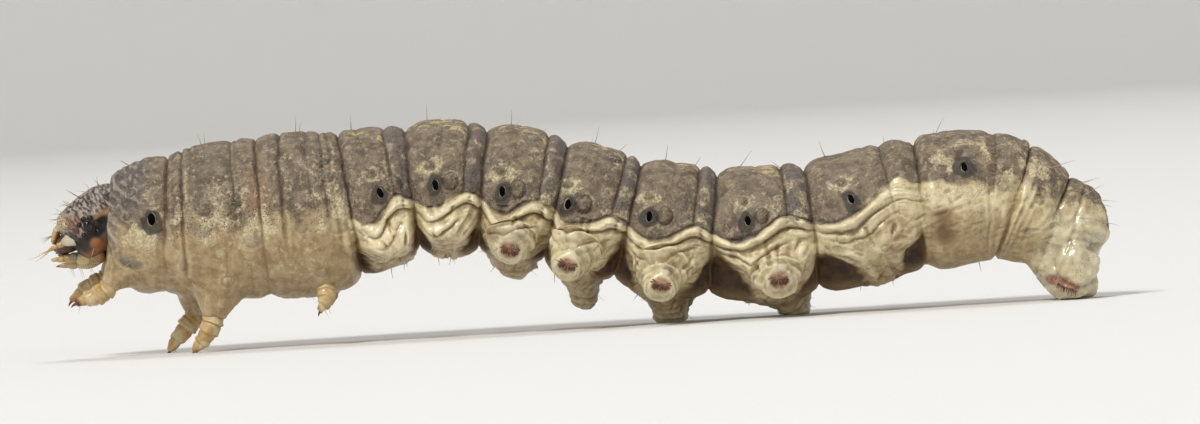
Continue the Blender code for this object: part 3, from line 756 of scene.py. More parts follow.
def segmentPlates():
    # the plates that each segment of the abdomen has, on both sides
    rows = []
    for i, (hole, middle, knob) in marks.items():
        run = runs[i]
        small = 1.0 if i < 10 else 0.7
        rows += [
            (i + 0.28, 20, 0.12, 0.12, 0.03, 0.6),
            (i + knob[0], knob[1], 0.27 * small, 0.27 * small, 0.06, 0.75),
            (i + hole[0] - 0.18 / run, hole[1] - 17, 0.19, 0.19, 0.07, 1.0),
            (i + middle - 0.42, 121, 0.09, 0.09, 0.02, 0.7),
            (i + middle + 0.06, 131, 0.16, 0.13, 0.04, 0.55),
        ]
        if i < 9:
            rows.append((i + hole[0] + 0.58 / run, hole[1] - 3, 0.25, 0.32, 0.21, 0.75))
        if i == 9:
            rows += [(i + 0.62, 90, 0.17, 0.15, 0.04, 0.8), (i + 0.42, 106, 0.15, 0.12, 0.03, 0.7),
                     (i + 0.60, 140, 0.17, 0.13, 0.04, 0.6)]
    return rows


def backEdge(place):
    # angle at which the back's brown ends, and how much of that edge is on the wavy fold
    edge = np.interp(place, (0, 0.5, 1, 2, 3, 9, 9.15, 9.4, 9.6, 9.8, 10, 10.5, 11, 11.5, 12, 12.5, 13),
                     (96, 100, 96, 94, 98, 100, 106, 100, 87, 77, 81, 86, 82, 78, 70, 58, 46))
    onRope = window(2.9, 3.1, 8.9, 9.1, place)
    return edge + onRope * (ropeAngleAt(place) - 4.0 - edge), onRope


def browned(here):
    # how much of the back's brown each point has
    place, low = here.place, here.low
    edge, onRope = backEdge(place)
    clear = window(8.9, 9.1, 10.3, 10.9, place)
    soft = 30 - 26 * onRope - 23 * clear
    torn = here.ragged * (16 - 12 * onRope - 10 * clear)
    return fade(edge - soft, edge + soft, low + torn)


def markSkin(here, masks, rope):
    place, low, share = here.place, here.low, here.place % 1.0
    points = here.points
    abdomen = window(2.95, 3.1, 8.9, 9.3, place)
    thorax = fade(2.9, 3.05, place)
    fleck = noiseAt(points * np.array([1.0, 0.7, 0.7]), 0.50, 21)
    blot = noiseAt(points, 0.27, 22)
    streak = noiseAt(points * np.array([0.45, 1, 1]), 0.15, 23)
    # yellow streaks beside the back's middle
    front = bell(share - 0.36, 0.27) * bell(low - 24, 13)
    rear = bell(share - 0.66, 0.10) * bell(low - 40, 12)
    behind = 0.5 * ramp(9.0, 9.6, place) * bell(share - 0.5, 0.3)
    yellow = (0.5 + 1.1 * streak + 0.5 * blot) * (abdomen + behind)
    masks["yellow"] = np.clip((front + rear) * yellow, 0, 1)
    # the last small fold of each segment, dark with pale blotches
    late = ramp(0.75, 0.79, share) * fade(96, 106, low) * abdomen
    masks["purple"] = late * (0.9 - 0.8 * ramp(0.0, 0.5, blot + 0.3 * fleck))
    masks["pale"] += late * 0.45 * ramp(0.05, 0.5, blot + 0.5 * bell(low - 58, 8) + 0.7 * bell(low - 92, 9))
    # pale skin above and round each breathing hole
    for i, (hole, middle, knob) in marks.items():
        if i > 9:
            continue
        for side in (1, -1):
            along, across = around(here, i + hole[0] - 0.14 / runs[i], side * (hole[1] - 15))
            spot = np.hypot(along / 0.66, across / 0.46) + 0.55 * here.ragged + 0.30 * blot
            atLeast(masks, "pale", 0.72 * fade(0.25, 1.35, spot))
    # pale mottles: strong on the thorax, weaker on the back
    band = bell(low - 99, 19) + 0.40 * bell(low - 62, 26) + 0.45 * bell(low - 138, 16)
    atLeast(masks, "pale", thorax * ramp(-0.30, 0.45, fleck + 0.45 * blot) * band * 0.85)
    fold = bell((place - 1.99) * 3.5, 0.42) + 0.7 * bell((place - 0.99) * 3.5, 0.25)
    masks["blush"] = fold * bell(low - 88, 34) * (1 - abdomen)
    rearward = abdomen * bell(share - 0.63, 0.12) * bell(low - 74, 34)
    atLeast(masks, "pale", 0.62 * rearward * ramp(-0.3, 0.6, fleck + 0.6 * blot))
    atLeast(masks, "pale", 0.8 * rope)
    edge = abdomen * bell(low - ropeAngleAt(place) + 8, 6) * ramp(0.52, 0.75, share)
    atLeast(masks, "pale", 0.75 * edge * ramp(-0.5, 0.3, blot))
    # the tan: the thorax's own translucent tan, the eighth segment's lower side, and the belly side of the
    # abdomen, darker there partly as painted shade under the body
    masks["tan"] = (thorax * (0.75 + 0.25 * ramp(92, 116, low))
                    + 0.85 * ramp(9.2, 10.1, place) * ramp(100, 128, low)
                    + 0.75 * ramp(2.95, 3.1, place) * ramp(146, 166, low))
    rim = window(9.0, 9.3, 10.5, 11.2, place) * bell(low - backEdge(place)[0] - 9, 7)
    atLeast(masks, "pale", 0.85 * rim)
    # the blue mask: the collar's grey and the painted sheen on its ridges, on the top and front edge of the
    # first segment
    collar = fade(0.40, 0.85, place + 0.1 * fleck) * fade(60, 100, low)
    masks["blue"] = collar * (0.8 + 0.5 * blot)
    front = fade(0.12, 0.30, place + 0.06 * fleck) * fade(122, 145, low)
    atLeast(masks, "blue", 0.85 * front)
    tail = ramp(9.5, 10.4, place)
    atLeast(masks, "pale", tail * ramp(-0.1, 0.6, fleck + 0.6 * blot) * bell(low - 62, 34) * 0.75)
    atLeast(masks, "yellow", ramp(10.3, 11.2, place) * ramp(0.1, 0.7, streak - 0.4 * fleck) * 0.7)
    masks["plate"] = ramp(11.9, 12.3, place) * fade(26, 48, low) * (0.5 + 0.8 * blot)
    # stippled patches
    clouds = ramp(0.10, 0.45, noiseAt(points, 0.85, 24) + 0.3 * blot)
    masks["stipple"] = np.maximum(thorax * clouds * bell(low - 96, 34), 0.5 * ramp(9.0, 9.3, place) * clouds)
    atLeast(masks, "stipple", abdomen * bell(low - ropeAngleAt(place) + 14, 9) * 0.8)
    specks = ramp(11.6, 12.2, place) * ramp(70, 90, low) * ramp(0.0, 0.5, blot + 0.5 * fleck)
    atLeast(masks, "stipple", 0.8 * specks)


relief = {
    # noise in the whole skin: height, size, seed
    "swells": ((0.035, 1.6, 5), (0.020, 0.55, 6), (0.010, 0.2, 7)),
    # directions that squeeze the noise into slanted wrinkles
    "collar": ((0.77, 0, 0.16), (0, 0.40, 0), (0.64, 0, -0.19)),
    "tail": ((0.35, 0, -0.35), (0, 0.35, 0), (0.25, 0, 0.95)),
    "clasper": ((0.9, 0, 0.1), (0, 0.4, 0), (-0.45, 0, 0.3)),
    "ribWidth": 0.34,
    # rounds of smoothing that the skin is compared with, for the masks of painted shade in the valleys and
    # painted highlight on the ridges
    "nearRounds": 6,
    "farRounds": 40,
}


def dressSkin():
    mesh = skin.data
    points, normals = readPoints(mesh), readNormals(mesh)
    place, angle, radius = findPlace(points)
    low = np.abs(angle)
    ragged = 0.6 * noiseAt(points, 0.7, 11) + 0.4 * noiseAt(points, 0.25, 12)
    # degree is the length of one degree round the body
    here = SimpleNamespace(points=points, place=place, angle=angle, low=low, ragged=ragged,
                           degree=np.radians(np.clip(radius, 0.5, 3.2)))
    trunk = radius - np.linalg.norm(plainSkin(place, angle) - frameAt(place)[0], axis=1)
    onTrunk = fade(0.05, 0.5, trunk)
    height = foldSkin(here) * (0.35 + 0.65 * onTrunk)
    rope, ropeMask = ropeSkin(here)
    lobes, shadedFilm = lobeSkin(here)
    height += (rope + lobes) * fade(0.15, 0.9, trunk)
    for rise, size, seed in relief["swells"]:
        height += rise * noiseAt(points, size, seed)
    # fine upright creases, strongest on the thorax and the collar
    upright = furrows(points * np.array([1.0, 0.25, 0.25]), 0.20, 16)
    front = fade(2.8, 3.2, place)
    height -= upright * (0.012 + 0.018 * front)
    leaning = points @ np.array(relief["collar"])
    collar = fade(0.40, 0.95, place) * (1 - 0.65 * ramp(80, 130, low))
    height += 0.050 * collar * noiseAt(leaning, 0.16, 36)
    tail = ramp(9.4, 10.2, place) * window(70, 95, 150, 170, low)
    slanted = points @ np.array(relief["tail"])
    pleats = furrows(slanted, 0.17, 18) * tail * fade(11.9, 12.3, place)
    height -= 0.05 * pleats
    ribs = bell((place - 11.0) * 1.9, 0.75) * window(70, 95, 150, 172, low)
    along = place * 1.9 + 0.05 * noiseAt(points, 0.5, 28)
    height += 0.035 * ribs * np.cos(along * fullTurn / relief["ribWidth"])
    height += 0.06 * ramp(11.6, 12.1, place) * (noiseAt(points, 0.45, 29) + 0.5 * noiseAt(points, 0.18, 30))
    height += clasperSkin(points)
    masks = {name: np.zeros(len(points)) for name in ("pale", "pit", "dark")}
    masks["brown"] = browned(here) * onTrunk
    masks["shadedFilm"] = shadedFilm * onTrunk
    markSkin(here, masks, ropeMask)
    for side in (1, -1):
        for spot, tilt, length, tall, lift, dark in (*thoraxPlates, *segmentPlates(), *tailPlates):
            plateSkin(here, height, masks, spot, side * tilt, length, tall, lift, dark, 0.6)
        for i, (hole, middle, knob) in marks.items():
            holeSkin(here, height, masks, i + hole[0], side * hole[1])
        holeSkin(here, height, masks, 0.80, side * 87, 0.17, 0.27)
    prolegSkin(here, height, masks)
    points = points + normals * height[:, None]
    points[:, 2] = np.maximum(points[:, 2], 0.0)
    writePoints(mesh, points)
    fine, wide = standing(mesh, points)
    # painted shade where the skin sinks below its surroundings, and painted highlight where it stands out of
    # them
    masks["shadedValley"] = np.maximum(0.8 * ramp(0.005, 0.030, -fine), ramp(0.02, 0.15, -wide))
    masks["ridge"] = 0.4 * ramp(0.0, 0.012, fine) + 0.7 * ramp(0.01, 0.10, wide)
    paintAll(mesh, masks)


def clasperSkin(points):
    # the knob at the top of each clasping leg, the wrinkles before it and the tail's folds
    x, z = points[:, 0], points[:, 2]
    aside = np.abs(points[:, 1] - body["middleY"])
    knobX, knobZ, size = claspers["knob"]
    knob = np.hypot(x - knobX, z - knobZ) / size
    outer = ramp(0.75, 1.15, aside)
    rearSide = 0.25 + 0.75 * ramp(19.0, 19.7, x - 0.5 * (z - knobZ))
    grow = outer * (0.15 * dome(knob) - 0.08 * rearSide * bell(knob - 1.06, 0.12)
                    + 0.05 * bell(knob, 0.8) * noiseAt(points, 0.28, 38))
    beside = outer * window(17.3, 17.9, 18.9, 19.3, x)
    slanted = points @ np.array(relief["clasper"])
    grow -= 0.07 * beside * furrows(slanted, 0.24, 37)
    for start, end, depth, width in body["tailFolds"]:
        startX, startZ = start
        dx, dz = np.subtract(end, start)
        share = np.clip(((x - startX) * dx + (z - startZ) * dz) / (dx * dx + dz * dz), 0, 1)
        off = np.hypot(x - startX - share * dx, z - startZ - share * dz)
        grow -= depth * bell(off, width) * ramp(0.35, 0.75, aside)
    return grow


def standing(mesh, points):
    # how far each point stands out of the skin round it, near by and farther off
    edges, normals, whole = readEdges(mesh), readNormals(mesh), np.ones(len(points))
    near = relax(points, edges, whole, relief["nearRounds"])
    far = relax(near, edges, whole, relief["farRounds"])
    return [((points - level) * normals).sum(axis=1) for level in (near, far)]


def soleSpot(row, back=0.08, aside=0.50):
    # a spot at the outer edge of a fleshy leg's sole, and the ways down and outward there
    centre, down, reach, along = prolegAxis(row)
    outward = np.array([0.0, -row.side, 0.0])
    outward = normed(outward - down * (outward @ down))
    return centre + down * (reach - back) + outward * row.foot * aside, down, outward, along


def prolegSkin(here, height, masks):
    # ring wrinkles on the fleshy legs; each sole has a soft rim, a glossy bump and a red-brown patch
    points = here.points
    masks["sole"] = np.zeros(len(points))
    masks["milk"] = ramp(11.6, 12.3, here.place) * ramp(60, 95, here.low)
    for row in prolegRows:
        centre, down, reach, along = prolegAxis(row)
        seat, foot = row.seat, row.foot
        off = points - centre
        up = off @ down
        radius = np.linalg.norm(off - up[:, None] * down, axis=1)
        leg = ramp(seat - 0.1, seat + 0.25, up) * fade(1.25, 1.6, radius / row.root)
        rings = np.cos(up * fullTurn / 0.24 + 1.6 * noiseAt(points, 0.5, 31))
        patch = np.linalg.norm(points - soleSpot(row)[0], axis=1) * (1 + 0.08 * here.ragged)
        bump = np.linalg.norm(points - soleSpot(row, 0.46, 1.0)[0], axis=1)
        calm = ramp(0.35, 0.75, patch)
        height += leg * calm * (0.022 * rings + 0.03 * noiseAt(points, 0.3, 32))
        height += 0.04 * bell(patch - 0.42, 0.10) - 0.07 * bell(patch, 0.24) + 0.16 * bell(bump, 0.20)
        rim = 0.04 * bell(patch - 0.82, 0.12) - 0.06 * bell(patch - 1.02, 0.08)
        height += leg * rim * ramp(0.5, 1.0, up / reach)
        sole = ramp(reach - 0.12, reach - 0.03, up) * (radius < foot * 1.3)
        height += sole * (0.05 * bell(radius - foot * 0.90, 0.09) - 0.06 * bell(radius, foot * 0.60))
        atLeast(masks, "sole", fade(0.26, 0.44, patch + 0.35 * bell(bump, 0.2)))
        atLeast(masks, "milk", leg * np.maximum(0.9 * bell(bump, 0.3), 0.45 * bell(patch - 0.4, 0.3)))
        masks["brown"] *= 1 - leg
        masks["shadedFilm"] *= fade(0.2, 0.6, leg)
    # red-brown crescent on the outer face of the clasping legs
    x, z, dx, dz = claspers["crescent"]
    share = np.clip((points[:, 0] - x) / dx, 0, 1)
    arch = z + dz * share + 0.10 * np.sin(math.pi * share)
    off = np.hypot(points[:, 0] - x - dx * share, points[:, 2] - arch)
    outer = ramp(0.9, 1.2, np.abs(points[:, 1] - body["middleY"]))
    atLeast(masks, "sole", outer * fade(0.12, 0.30, off + 0.10 * here.ragged))


dressSkin()
print("skin folded and marked")


fleshRadius = (1.0, 0.55, 0.28)     # how far red, green and blue light spread under the surface


def skinMaterial():
    shade = Shade("larva skin", Subsurface_Weight=0.32, Subsurface_Scale=0.40 * mm,
                  Subsurface_Radius=fleshRadius, IOR=1.36, Coat_Roughness=0.16)
    where = shade.millimetres()
    broad = shade.noise(where, 0.8, 3.0)
    middle = shade.noise(where, 2.2, 5.0, 0.60)
    mottle = shade.noise(where, 4.2, 5.0, 0.70)
    small = shade.noise(where, 10.0, 3.0, 0.65)
    grain = shade.grains(where, 9.5)
    dots = shade.grains(where, 12.0)
    shadedValley, ridge = shade.mask("shadedValley"), shade.mask("ridge")
    back = shade.mix(middle.between(0.35, 0.65), (0.105, 0.078, 0.052), (0.215, 0.165, 0.110))
    # pale mottles on the back, a little more on raised skin as painted highlight
    back = shade.mix((mottle + ridge * 0.12).between(0.54, 0.66) * 0.60, back, (0.36, 0.295, 0.195))
    back = shade.mix(small.between(0.48, 0.28) * 0.45, back, (0.050, 0.038, 0.028))
    # the collar's dark grey, with a painted silvery sheen on its ridges
    collar = shade.mix(ridge.between(0.05, 0.40), (0.065, 0.055, 0.054), (0.235, 0.210, 0.200))
    under = shade.mix(broad.between(0.36, 0.60), (0.58, 0.485, 0.285), (0.33, 0.245, 0.115))
    under = shade.mix(mottle.between(0.48, 0.62) * 0.50, under, (0.66, 0.585, 0.395))
    under = shade.mix(mottle.between(0.48, 0.34) * 0.55, under, (0.235, 0.160, 0.070))
    tan = shade.mix(middle.between(0.36, 0.64), (0.255, 0.165, 0.072), (0.38, 0.28, 0.145))
    tan = shade.mix(mottle.between(0.54, 0.66) * 0.45, tan, (0.47, 0.385, 0.235))
    under = shade.mix(shade.mask("tan") * 0.92, under, tan)
    under = shade.mix(shade.mask("milk") * 0.6, under, (0.52, 0.49, 0.34))
    brown = (shade.mask("brown") + (mottle - 0.5) * 0.9).between(0.25, 0.75)
    colour = shade.mix(brown, under, back)
    colour = shade.mix(shade.mask("blush") * 0.55, colour, (0.30, 0.165, 0.095))
    pale = (shade.mask("pale") + (mottle - 0.5) * 1.2 + (small - 0.5) * 0.7).between(0.18, 0.88)
    paleTone = shade.mix(small.between(0.42, 0.60), (0.40, 0.325, 0.19), (0.60, 0.525, 0.345))
    colour = shade.mix(pale * 0.82, colour, paleTone)
    yellow = (shade.mask("yellow") + (mottle - 0.5) * 1.4 + (small - 0.5) * 0.8).between(0.25, 0.85)
    colour = shade.mix(yellow * 0.75, colour, (0.45, 0.355, 0.175))
    colour = shade.mix(shade.mask("purple") * 0.75, colour, (0.100, 0.082, 0.076))
    dark = (shade.mask("dark") + (small - 0.5) * 0.6).between(0.2, 0.8)
    # the collar's grey with its painted sheen, where the blue mask lies
    colour = shade.mix(shade.mask("blue") * 0.75, colour, collar)
    colour = shade.mix(dark * 0.90, colour, (0.042, 0.035, 0.026))
    shadedFilm = shade.mask("shadedFilm")
    # the film's own translucent brown, and near black deeper in as painted shade between the lobes
    deep = shade.mix(middle.between(0.35, 0.65), (0.030, 0.015, 0.007), (0.075, 0.038, 0.015))
    colour = shade.mix(shadedFilm.between(0.05, 0.50) * 0.85, colour, (0.200, 0.125, 0.052))
    colour = shade.mix(shadedFilm.between(0.40, 1.0), colour, deep)
    stipple = (shade.mask("stipple") + brown * 0.45) * (dots + (small - 0.5) * 0.5).between(0.36, 0.16)
    colour = shade.mix(stipple * 0.75, colour, (0.026, 0.020, 0.015))
    plate = shade.mix(mottle.between(0.4, 0.6), (0.050, 0.037, 0.019), (0.140, 0.108, 0.062))
    colour = shade.mix(shade.mask("plate") * 0.85, colour, plate)
    # painted shade in the valleys: near black on the brown back, olive brown elsewhere
    valleyShade = shade.mix(brown, (0.190, 0.115, 0.048), (0.024, 0.018, 0.013))
    colour = shade.mix(shadedValley * (0.62 + brown * 0.20), colour, valleyShade)
    bare = (1 - brown) * (1 - shadedFilm)
    # painted highlight: raised bare skin pales to bright cream, less where it is tan
    colour = shade.mix(ridge * bare * (0.62 - shade.mask("tan") * 0.34), colour, (0.68, 0.60, 0.405))
    sole = shade.mix(mottle.between(0.4, 0.6), (0.17, 0.050, 0.024), (0.36, 0.19, 0.10))
    colour = shade.mix(shade.mask("sole") * 0.9, colour, sole)
    colour = shade.mix(shade.mask("pit"), colour, (0.004, 0.004, 0.005))
    rough = 0.40 + small * 0.20 + brown * 0.10 - shade.mask("plate") * 0.12 - shade.mask("milk") * 0.16
    wet = 0.03 + bare * 0.42 + shade.mask("plate") * 0.25 + shade.mask("milk") * 0.5
    height = (1 - grain) * (0.20 + brown * 0.80) + small * 0.5 + mottle * 0.6
    return shade.feed(Base_Color=colour, Roughness=rough, Coat_Weight=wet.between(0, 1),
                      Normal=shade.bump(height, 0.045, 0.8))


skin.data.materials.clear()
skin.data.materials.append(skinMaterial())
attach(skin, "root")
fleshNodes = nodesOf("thorax_", "abdomen_", "proleg_")
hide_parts(*fleshNodes)


# Head: its own axes are mouthward, leftward and faceward

head = {"centre": (-18.975, 0.28, 5.33), "pitch": 37, "size": (1.75, 1.70, 1.20), "power": 2.5}


def tilted(degrees):
    # the head's axes, pitched down by some more degrees
    turn = math.radians(head["pitch"] + degrees)
    return np.array([(-math.cos(turn), 0, -math.sin(turn)), (0, -1, 0), (-math.sin(turn), 0, math.cos(turn))])


headAxes = tilted(0)


def headPoint(points):
    return np.array(head["centre"]) + np.asarray(points, float) @ headAxes


def capsuleShape():
    build = bmesh.new()
    bmesh.ops.create_icosphere(build, subdivisions=7, radius=mm)
    mesh = meshFrom(build, "head_capsule")
    size = np.array(head["size"])
    unit = readPoints(mesh)
    unit /= (np.abs(unit) ** head["power"]).sum(axis=1)[:, None] ** (1 / head["power"])
    normal = normed(np.sign(unit) * np.abs(unit) ** (head["power"] - 1) / size)
    local = unit * size
    m, out, f = local[:, 0], np.abs(local[:, 1]), local[:, 2]
    sideward = ramp(0.7, 1.2, out)
    shadedHollow = sideward * bell(np.hypot((m + 0.22) / 1.5, f + 0.36 + 0.25 * m), 0.27)
    cheek = sideward * bell(np.hypot(m - 0.38, f + 0.68), 0.25)
    brow = sideward * bell(np.hypot(m - 0.16, f), 0.34)
    frons = 0.60 * np.clip((m + 0.10) / 1.2, 0, 1)
    face = ramp(0.25, 0.5, f)
    grow = -0.10 * bell(out, 0.22) * np.clip(f / size[2], 0, 1) * fade(0.2, 0.8, m)
    grow -= 0.05 * bell(out, 0.035) * face * fade(-0.15, 0.0, m)
    seams = 0.04 * bell(out - frons, 0.03) + 0.025 * bell(out - frons - 0.13, 0.03)
    grow -= face * ramp(-0.1, 0.05, m) * seams
    grow += 0.13 * cheek - 0.20 * shadedHollow + 0.04 * brow
    lines = noiseAt(local * np.array([1, 0.30, 0.30]) / 0.062, 1.0, 41)
    scales = noiseAt(local * np.array([1, 0.55, 0.55]) / 0.045, 1.0, 42)
    ridged = (1 - cheek) * (1 - 0.8 * shadedHollow) * ramp(-0.35, 0.1, f + 0.2 * m)
    grow += ridged * (0.022 * lines + 0.013 * scales) + 0.02 * noiseAt(local, 0.35, 43)
    local = local + normal * grow[:, None]
    # the front is flat round the mouth, with a hollow for the jaws
    ahead = np.maximum(local[:, 0] - 0.95, 0)
    local[:, 0] -= 0.55 * ahead + 0.30 * ramp(0.6, 1.0, m) * bell(out, 0.80) * bell(f + 0.10, 0.36)
    beside = sideward * bell(np.hypot((m - 0.36) / 1.5, f + 0.34), 0.24) * fade(0.2, 0.6, cheek)
    masks = {
        "red": ramp(0.5, 1.0, out) * bell(np.hypot((m - 0.50) / 1.1, f - 0.42), 0.26),
        "amber": ramp(0.25, 0.7, cheek) + ramp(0.55, 0.95, -f) * 0.8,
        # near-black painted shade behind the eyes, beside the cheek and round the jaws
        "shadedHollow": ramp(0.15, 0.50, shadedHollow) + ramp(0.5, 1.0, m) * bell(f + 0.20, 0.36) + beside,
        "tan": sideward * bell(f - 0.10 - 0.25 * (m + 0.3), 0.13) * fade(-0.35, -0.05, m),
        "cream": ramp(0.45, 0.85, m) * ramp(0.35, 0.7, f),
        # the ridged lines, which the material lightens, partly as painted sheen
        "ridge": ridged * np.clip(0.5 + 0.6 * lines + 0.3 * scales, 0, 1),
    }
    writePoints(mesh, headPoint(local))
    paintAll(mesh, masks)
    return newObject("head_capsule", mesh, [headMaterial()])


def headMaterial():
    shade = Shade("head capsule", IOR=1.44, Subsurface_Weight=0.08, Subsurface_Scale=0.3 * mm)
    where = shade.millimetres()
    broad = shade.noise(where, 2.2, 4.0)
    fine = shade.noise(where, 16.0, 3.0, 0.6)
    ridge = (shade.mask("ridge") + (fine - 0.5) * 0.5).between(0.3, 0.8)
    # the ridges lighter than the dark capsule: partly its own grey-brown net, partly painted sheen
    colour = shade.mix(ridge, (0.040, 0.027, 0.020), (0.30, 0.25, 0.20))
    colour = shade.mix(broad.between(0.45, 0.7) * 0.45, colour, (0.10, 0.060, 0.040))
    colour = shade.mix(shade.mask("tan") * 0.75, colour, (0.34, 0.20, 0.10))
    creamTone = shade.mix(fine.between(0.42, 0.58), (0.17, 0.105, 0.045), (0.55, 0.46, 0.29))
    colour = shade.mix(shade.mask("cream") * 0.9, colour, creamTone)
    colour = shade.mix(shade.mask("red") * (0.45 + fine * 0.5), colour, (0.17, 0.045, 0.016))
    colour = shade.mix(shade.mask("amber") * 0.85, colour, (0.28, 0.105, 0.028))
    # painted shade: the hollows go near black
    colour = shade.mix(shade.mask("shadedHollow") * 0.97, colour, (0.007, 0.003, 0.002))
    height = ridge * 0.8 + fine * 0.5
    rough = 0.24 + broad * 0.22 + shade.mask("shadedHollow") * 0.35
    return shade.feed(Base_Color=colour, Roughness=rough, Normal=shade.bump(height, 0.02, 0.8))


def hornMaterial(name, light, dark, pale, gloss=0.22, glow=0.15):
    # horn that darkens with "band" over 0.5 and pales under it
    shade = Shade(name, IOR=1.50, Subsurface_Weight=glow, Subsurface_Scale=0.3 * mm,
                  Subsurface_Radius=fleshRadius)
    where = shade.millimetres()
    fine = shade.noise(where, 9.0, 3.0)
    band = shade.mask("band") + (fine - 0.5) * 0.22
    colour = shade.mix(band.between(0.0, 0.45), pale, light)
    colour = shade.mix(band.between(0.50, 0.90), colour, dark)
    return shade.feed(Base_Color=colour, Roughness=gloss + fine * 0.16, Normal=shade.bump(fine, 0.02, 0.5))


amberHorn = hornMaterial("amber horn", (0.40, 0.255, 0.098), (0.100, 0.026, 0.010), (0.52, 0.43, 0.24),
                         0.14, 0.30)
paleHorn = hornMaterial("pale horn", (0.31, 0.25, 0.165), (0.16, 0.095, 0.050), (0.47, 0.42, 0.31), 0.20)
darkHorn = hornMaterial("dark horn", (0.050, 0.015, 0.009), (0.014, 0.006, 0.004), (0.11, 0.04, 0.02), 0.26)


def plainMaterial(name, colour, **fixed):
    return Shade(name, Base_Color=rgb(*colour), **fixed).material


lensMaterial = plainMaterial("black lens", (0.003, 0.004, 0.006), Roughness=0.06, IOR=1.45)
holeMaterial = plainMaterial("black hollow", (0.002, 0.002, 0.003), Roughness=0.60, IOR=1.08)


def ride(piece, slot, *nodes):
    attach(piece, "root")
    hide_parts(*nodes)


def lump(pile, centre, size, tilt=0, shade=0.4, rough=0.02, scale=0.16, look=0, count=56):
    # a rounded piece in the head's axes, with an uneven surface
    points, faces = ball(headPoint(centre), size, tilted(tilt), count, count // 2)
    away = normed(points - headPoint(centre))
    lift = rough * noiseAt(points, scale, 51) + 0.5 * rough * noiseAt(points, scale / 3, 52)
    points = points + away * lift[:, None]
    pile.add((points, faces), shade, look)


def limb(pile, joints, radii, shades, look=0, sides=20, bumps=0.0):
    # a horny limb through some points in the head's axes, with an uneven surface
    points, faces = tube(headPoint(joints), radii, sides)
    points = points + bumps * jitter(points, 0.42, (53, 54, 55))
    pile.add((points, faces), np.repeat(shades, sides), look)


def addRows(pile, add, rows, side=1):
    # lumps or limbs from the rows of a table, whose places are those of the left side
    for spots, *rest in rows:
        add(pile, np.array(spots) * (1, side, 1), *rest)


face = {
    # lumps: centre, half sizes, tilt, band, unevenness and its size
    "middle": (((0.98, 0, 0.70), (0.46, 0.82, 0.24), 4, 0.30, 0.035, 0.11),
               ((1.30, 0, 0.71), (0.16, 0.62, 0.17), 22, 0.05, 0.015)),
    "sides": (((1.45, 0.27, 0.62), (0.36, 0.33, 0.15), 36, 0.34, 0.02, 0.10),
              ((1.68, 0.24, 0.47), (0.13, 0.26, 0.10), 60, 0.62, 0.01)),
}


def makeFace():
    # clypeus and upper lip
    pile = Pile()
    addRows(pile, lump, face["middle"])
    for side in (-1, 1):
        addRows(pile, lump, face["sides"], side)
    return pile.build("face_plate", [amberHorn])


eyes = {
    # lenses: place mouthward and faceward, half width, half height. the large one comes first
    "lenses": ((0.15, -0.02, 0.165, 0.225), (-0.10, 0.20, 0.095, 0.105), (0.13, 0.34, 0.080, 0.080),
               (0.40, 0.27, 0.075, 0.080), (0.52, -0.16, 0.080, 0.085), (-0.16, -0.14, 0.075, 0.09)),
    "lift": 0.05,
    "rimShare": 1.08,
    "rimRadius": 0.022,
}


def makeEye(side):
    # six lenses in low sockets
    pile = Pile()
    turned = np.array([headAxes[0], headAxes[2], side * headAxes[1]])
    (long, wide, deep), power = head["size"], head["power"]
    turn = np.linspace(0, fullTurn, 29)
    for m, f, half, tall in eyes["lenses"]:
        out = wide * (1 - (abs(m) / long) ** power - (abs(f) / deep) ** power) ** (1 / power) + eyes["lift"]
        size = (half, tall, 0.05 + 0.25 * half)
        pile.add(ball(headPoint((m, side * out, f)), size, turned, 28, 18))
        rim = np.stack([m + eyes["rimShare"] * half * np.cos(turn), np.full(29, side * (out - 0.01)),
                        f + eyes["rimShare"] * tall * np.sin(turn)], axis=1)
        pile.add(tube(headPoint(rim), eyes["rimRadius"], 8, side=headAxes[1]), 0.75, 1)
    return pile.build("eye_" + sideNames[side], [lensMaterial, darkHorn])


feeler = {
    # limbs: joints, radii, bands, material, sides, unevenness
    "plate": (((0.62, 1.18, -0.10), (0.76, 1.25, -0.08), (0.92, 1.27, -0.03), (1.14, 1.25, 0.05),
               (1.34, 1.22, 0.12), (1.41, 1.21, 0.14)),
              (0.24, 0.335, 0.30, 0.22, 0.15, 0.10), (0.55, 0.2, 0.1, 0.05, 0.3, 0.6), 1, 28, 0.07),
    "rings": ((((0, 1.21, 0.13), (0.05, 1.20, 0.15), (0.22, 1.19, 0.21), (0.27, 1.19, 0.22)),
               (0.10, 0.120, 0.108, 0.06), (0.4, 0.25, 0.4, 0.8)),
              (((0.25, 1.19, 0.22), (0.29, 1.18, 0.23), (0.47, 1.16, 0.30), (0.50, 1.16, 0.31)),
               (0.06, 0.085, 0.072, 0.03), (0.4, 0.3, 0.5, 0.9))),
    "bristleRoot": (0.48, 1.16, 0.30),
    "bristleTips": ((1.05, 1.10, 0.48), (0.95, 1.22, 0.26)),
    "bristleRadii": (0.018, 0.016, 0.014, 0.012, 0.008, 0.004),
    "start": 1.38,                                  # where the rings start on the head
    "reach": {1: (1.0, 0.0), -1: (1.55, 0.12)},     # stretch and rise of each side's rings
}


def makeFeeler(side):
    # the smooth pale plate, two horny rings and two long bristles
    pile = Pile()
    addRows(pile, limb, [feeler["plate"]], side)
    root = np.array(feeler["bristleRoot"])
    bristles = [(bent([root, (root + tip) / 2 - (0, 0, 0.04), tip], 6), feeler["bristleRadii"],
                 (0.35,) * 6, 0, 6) for tip in feeler["bristleTips"]]
    stretch, rise = feeler["reach"][side]
    for joints, *rest in (*feeler["rings"], *bristles):
        m, out, f = np.array(joints).T
        reached = np.stack([feeler["start"] + m * stretch, out, f + m * rise], axis=1)
        addRows(pile, limb, [(reached, *rest)], side)
    return pile.build("feeler_" + sideNames[side], [amberHorn, paleHorn])


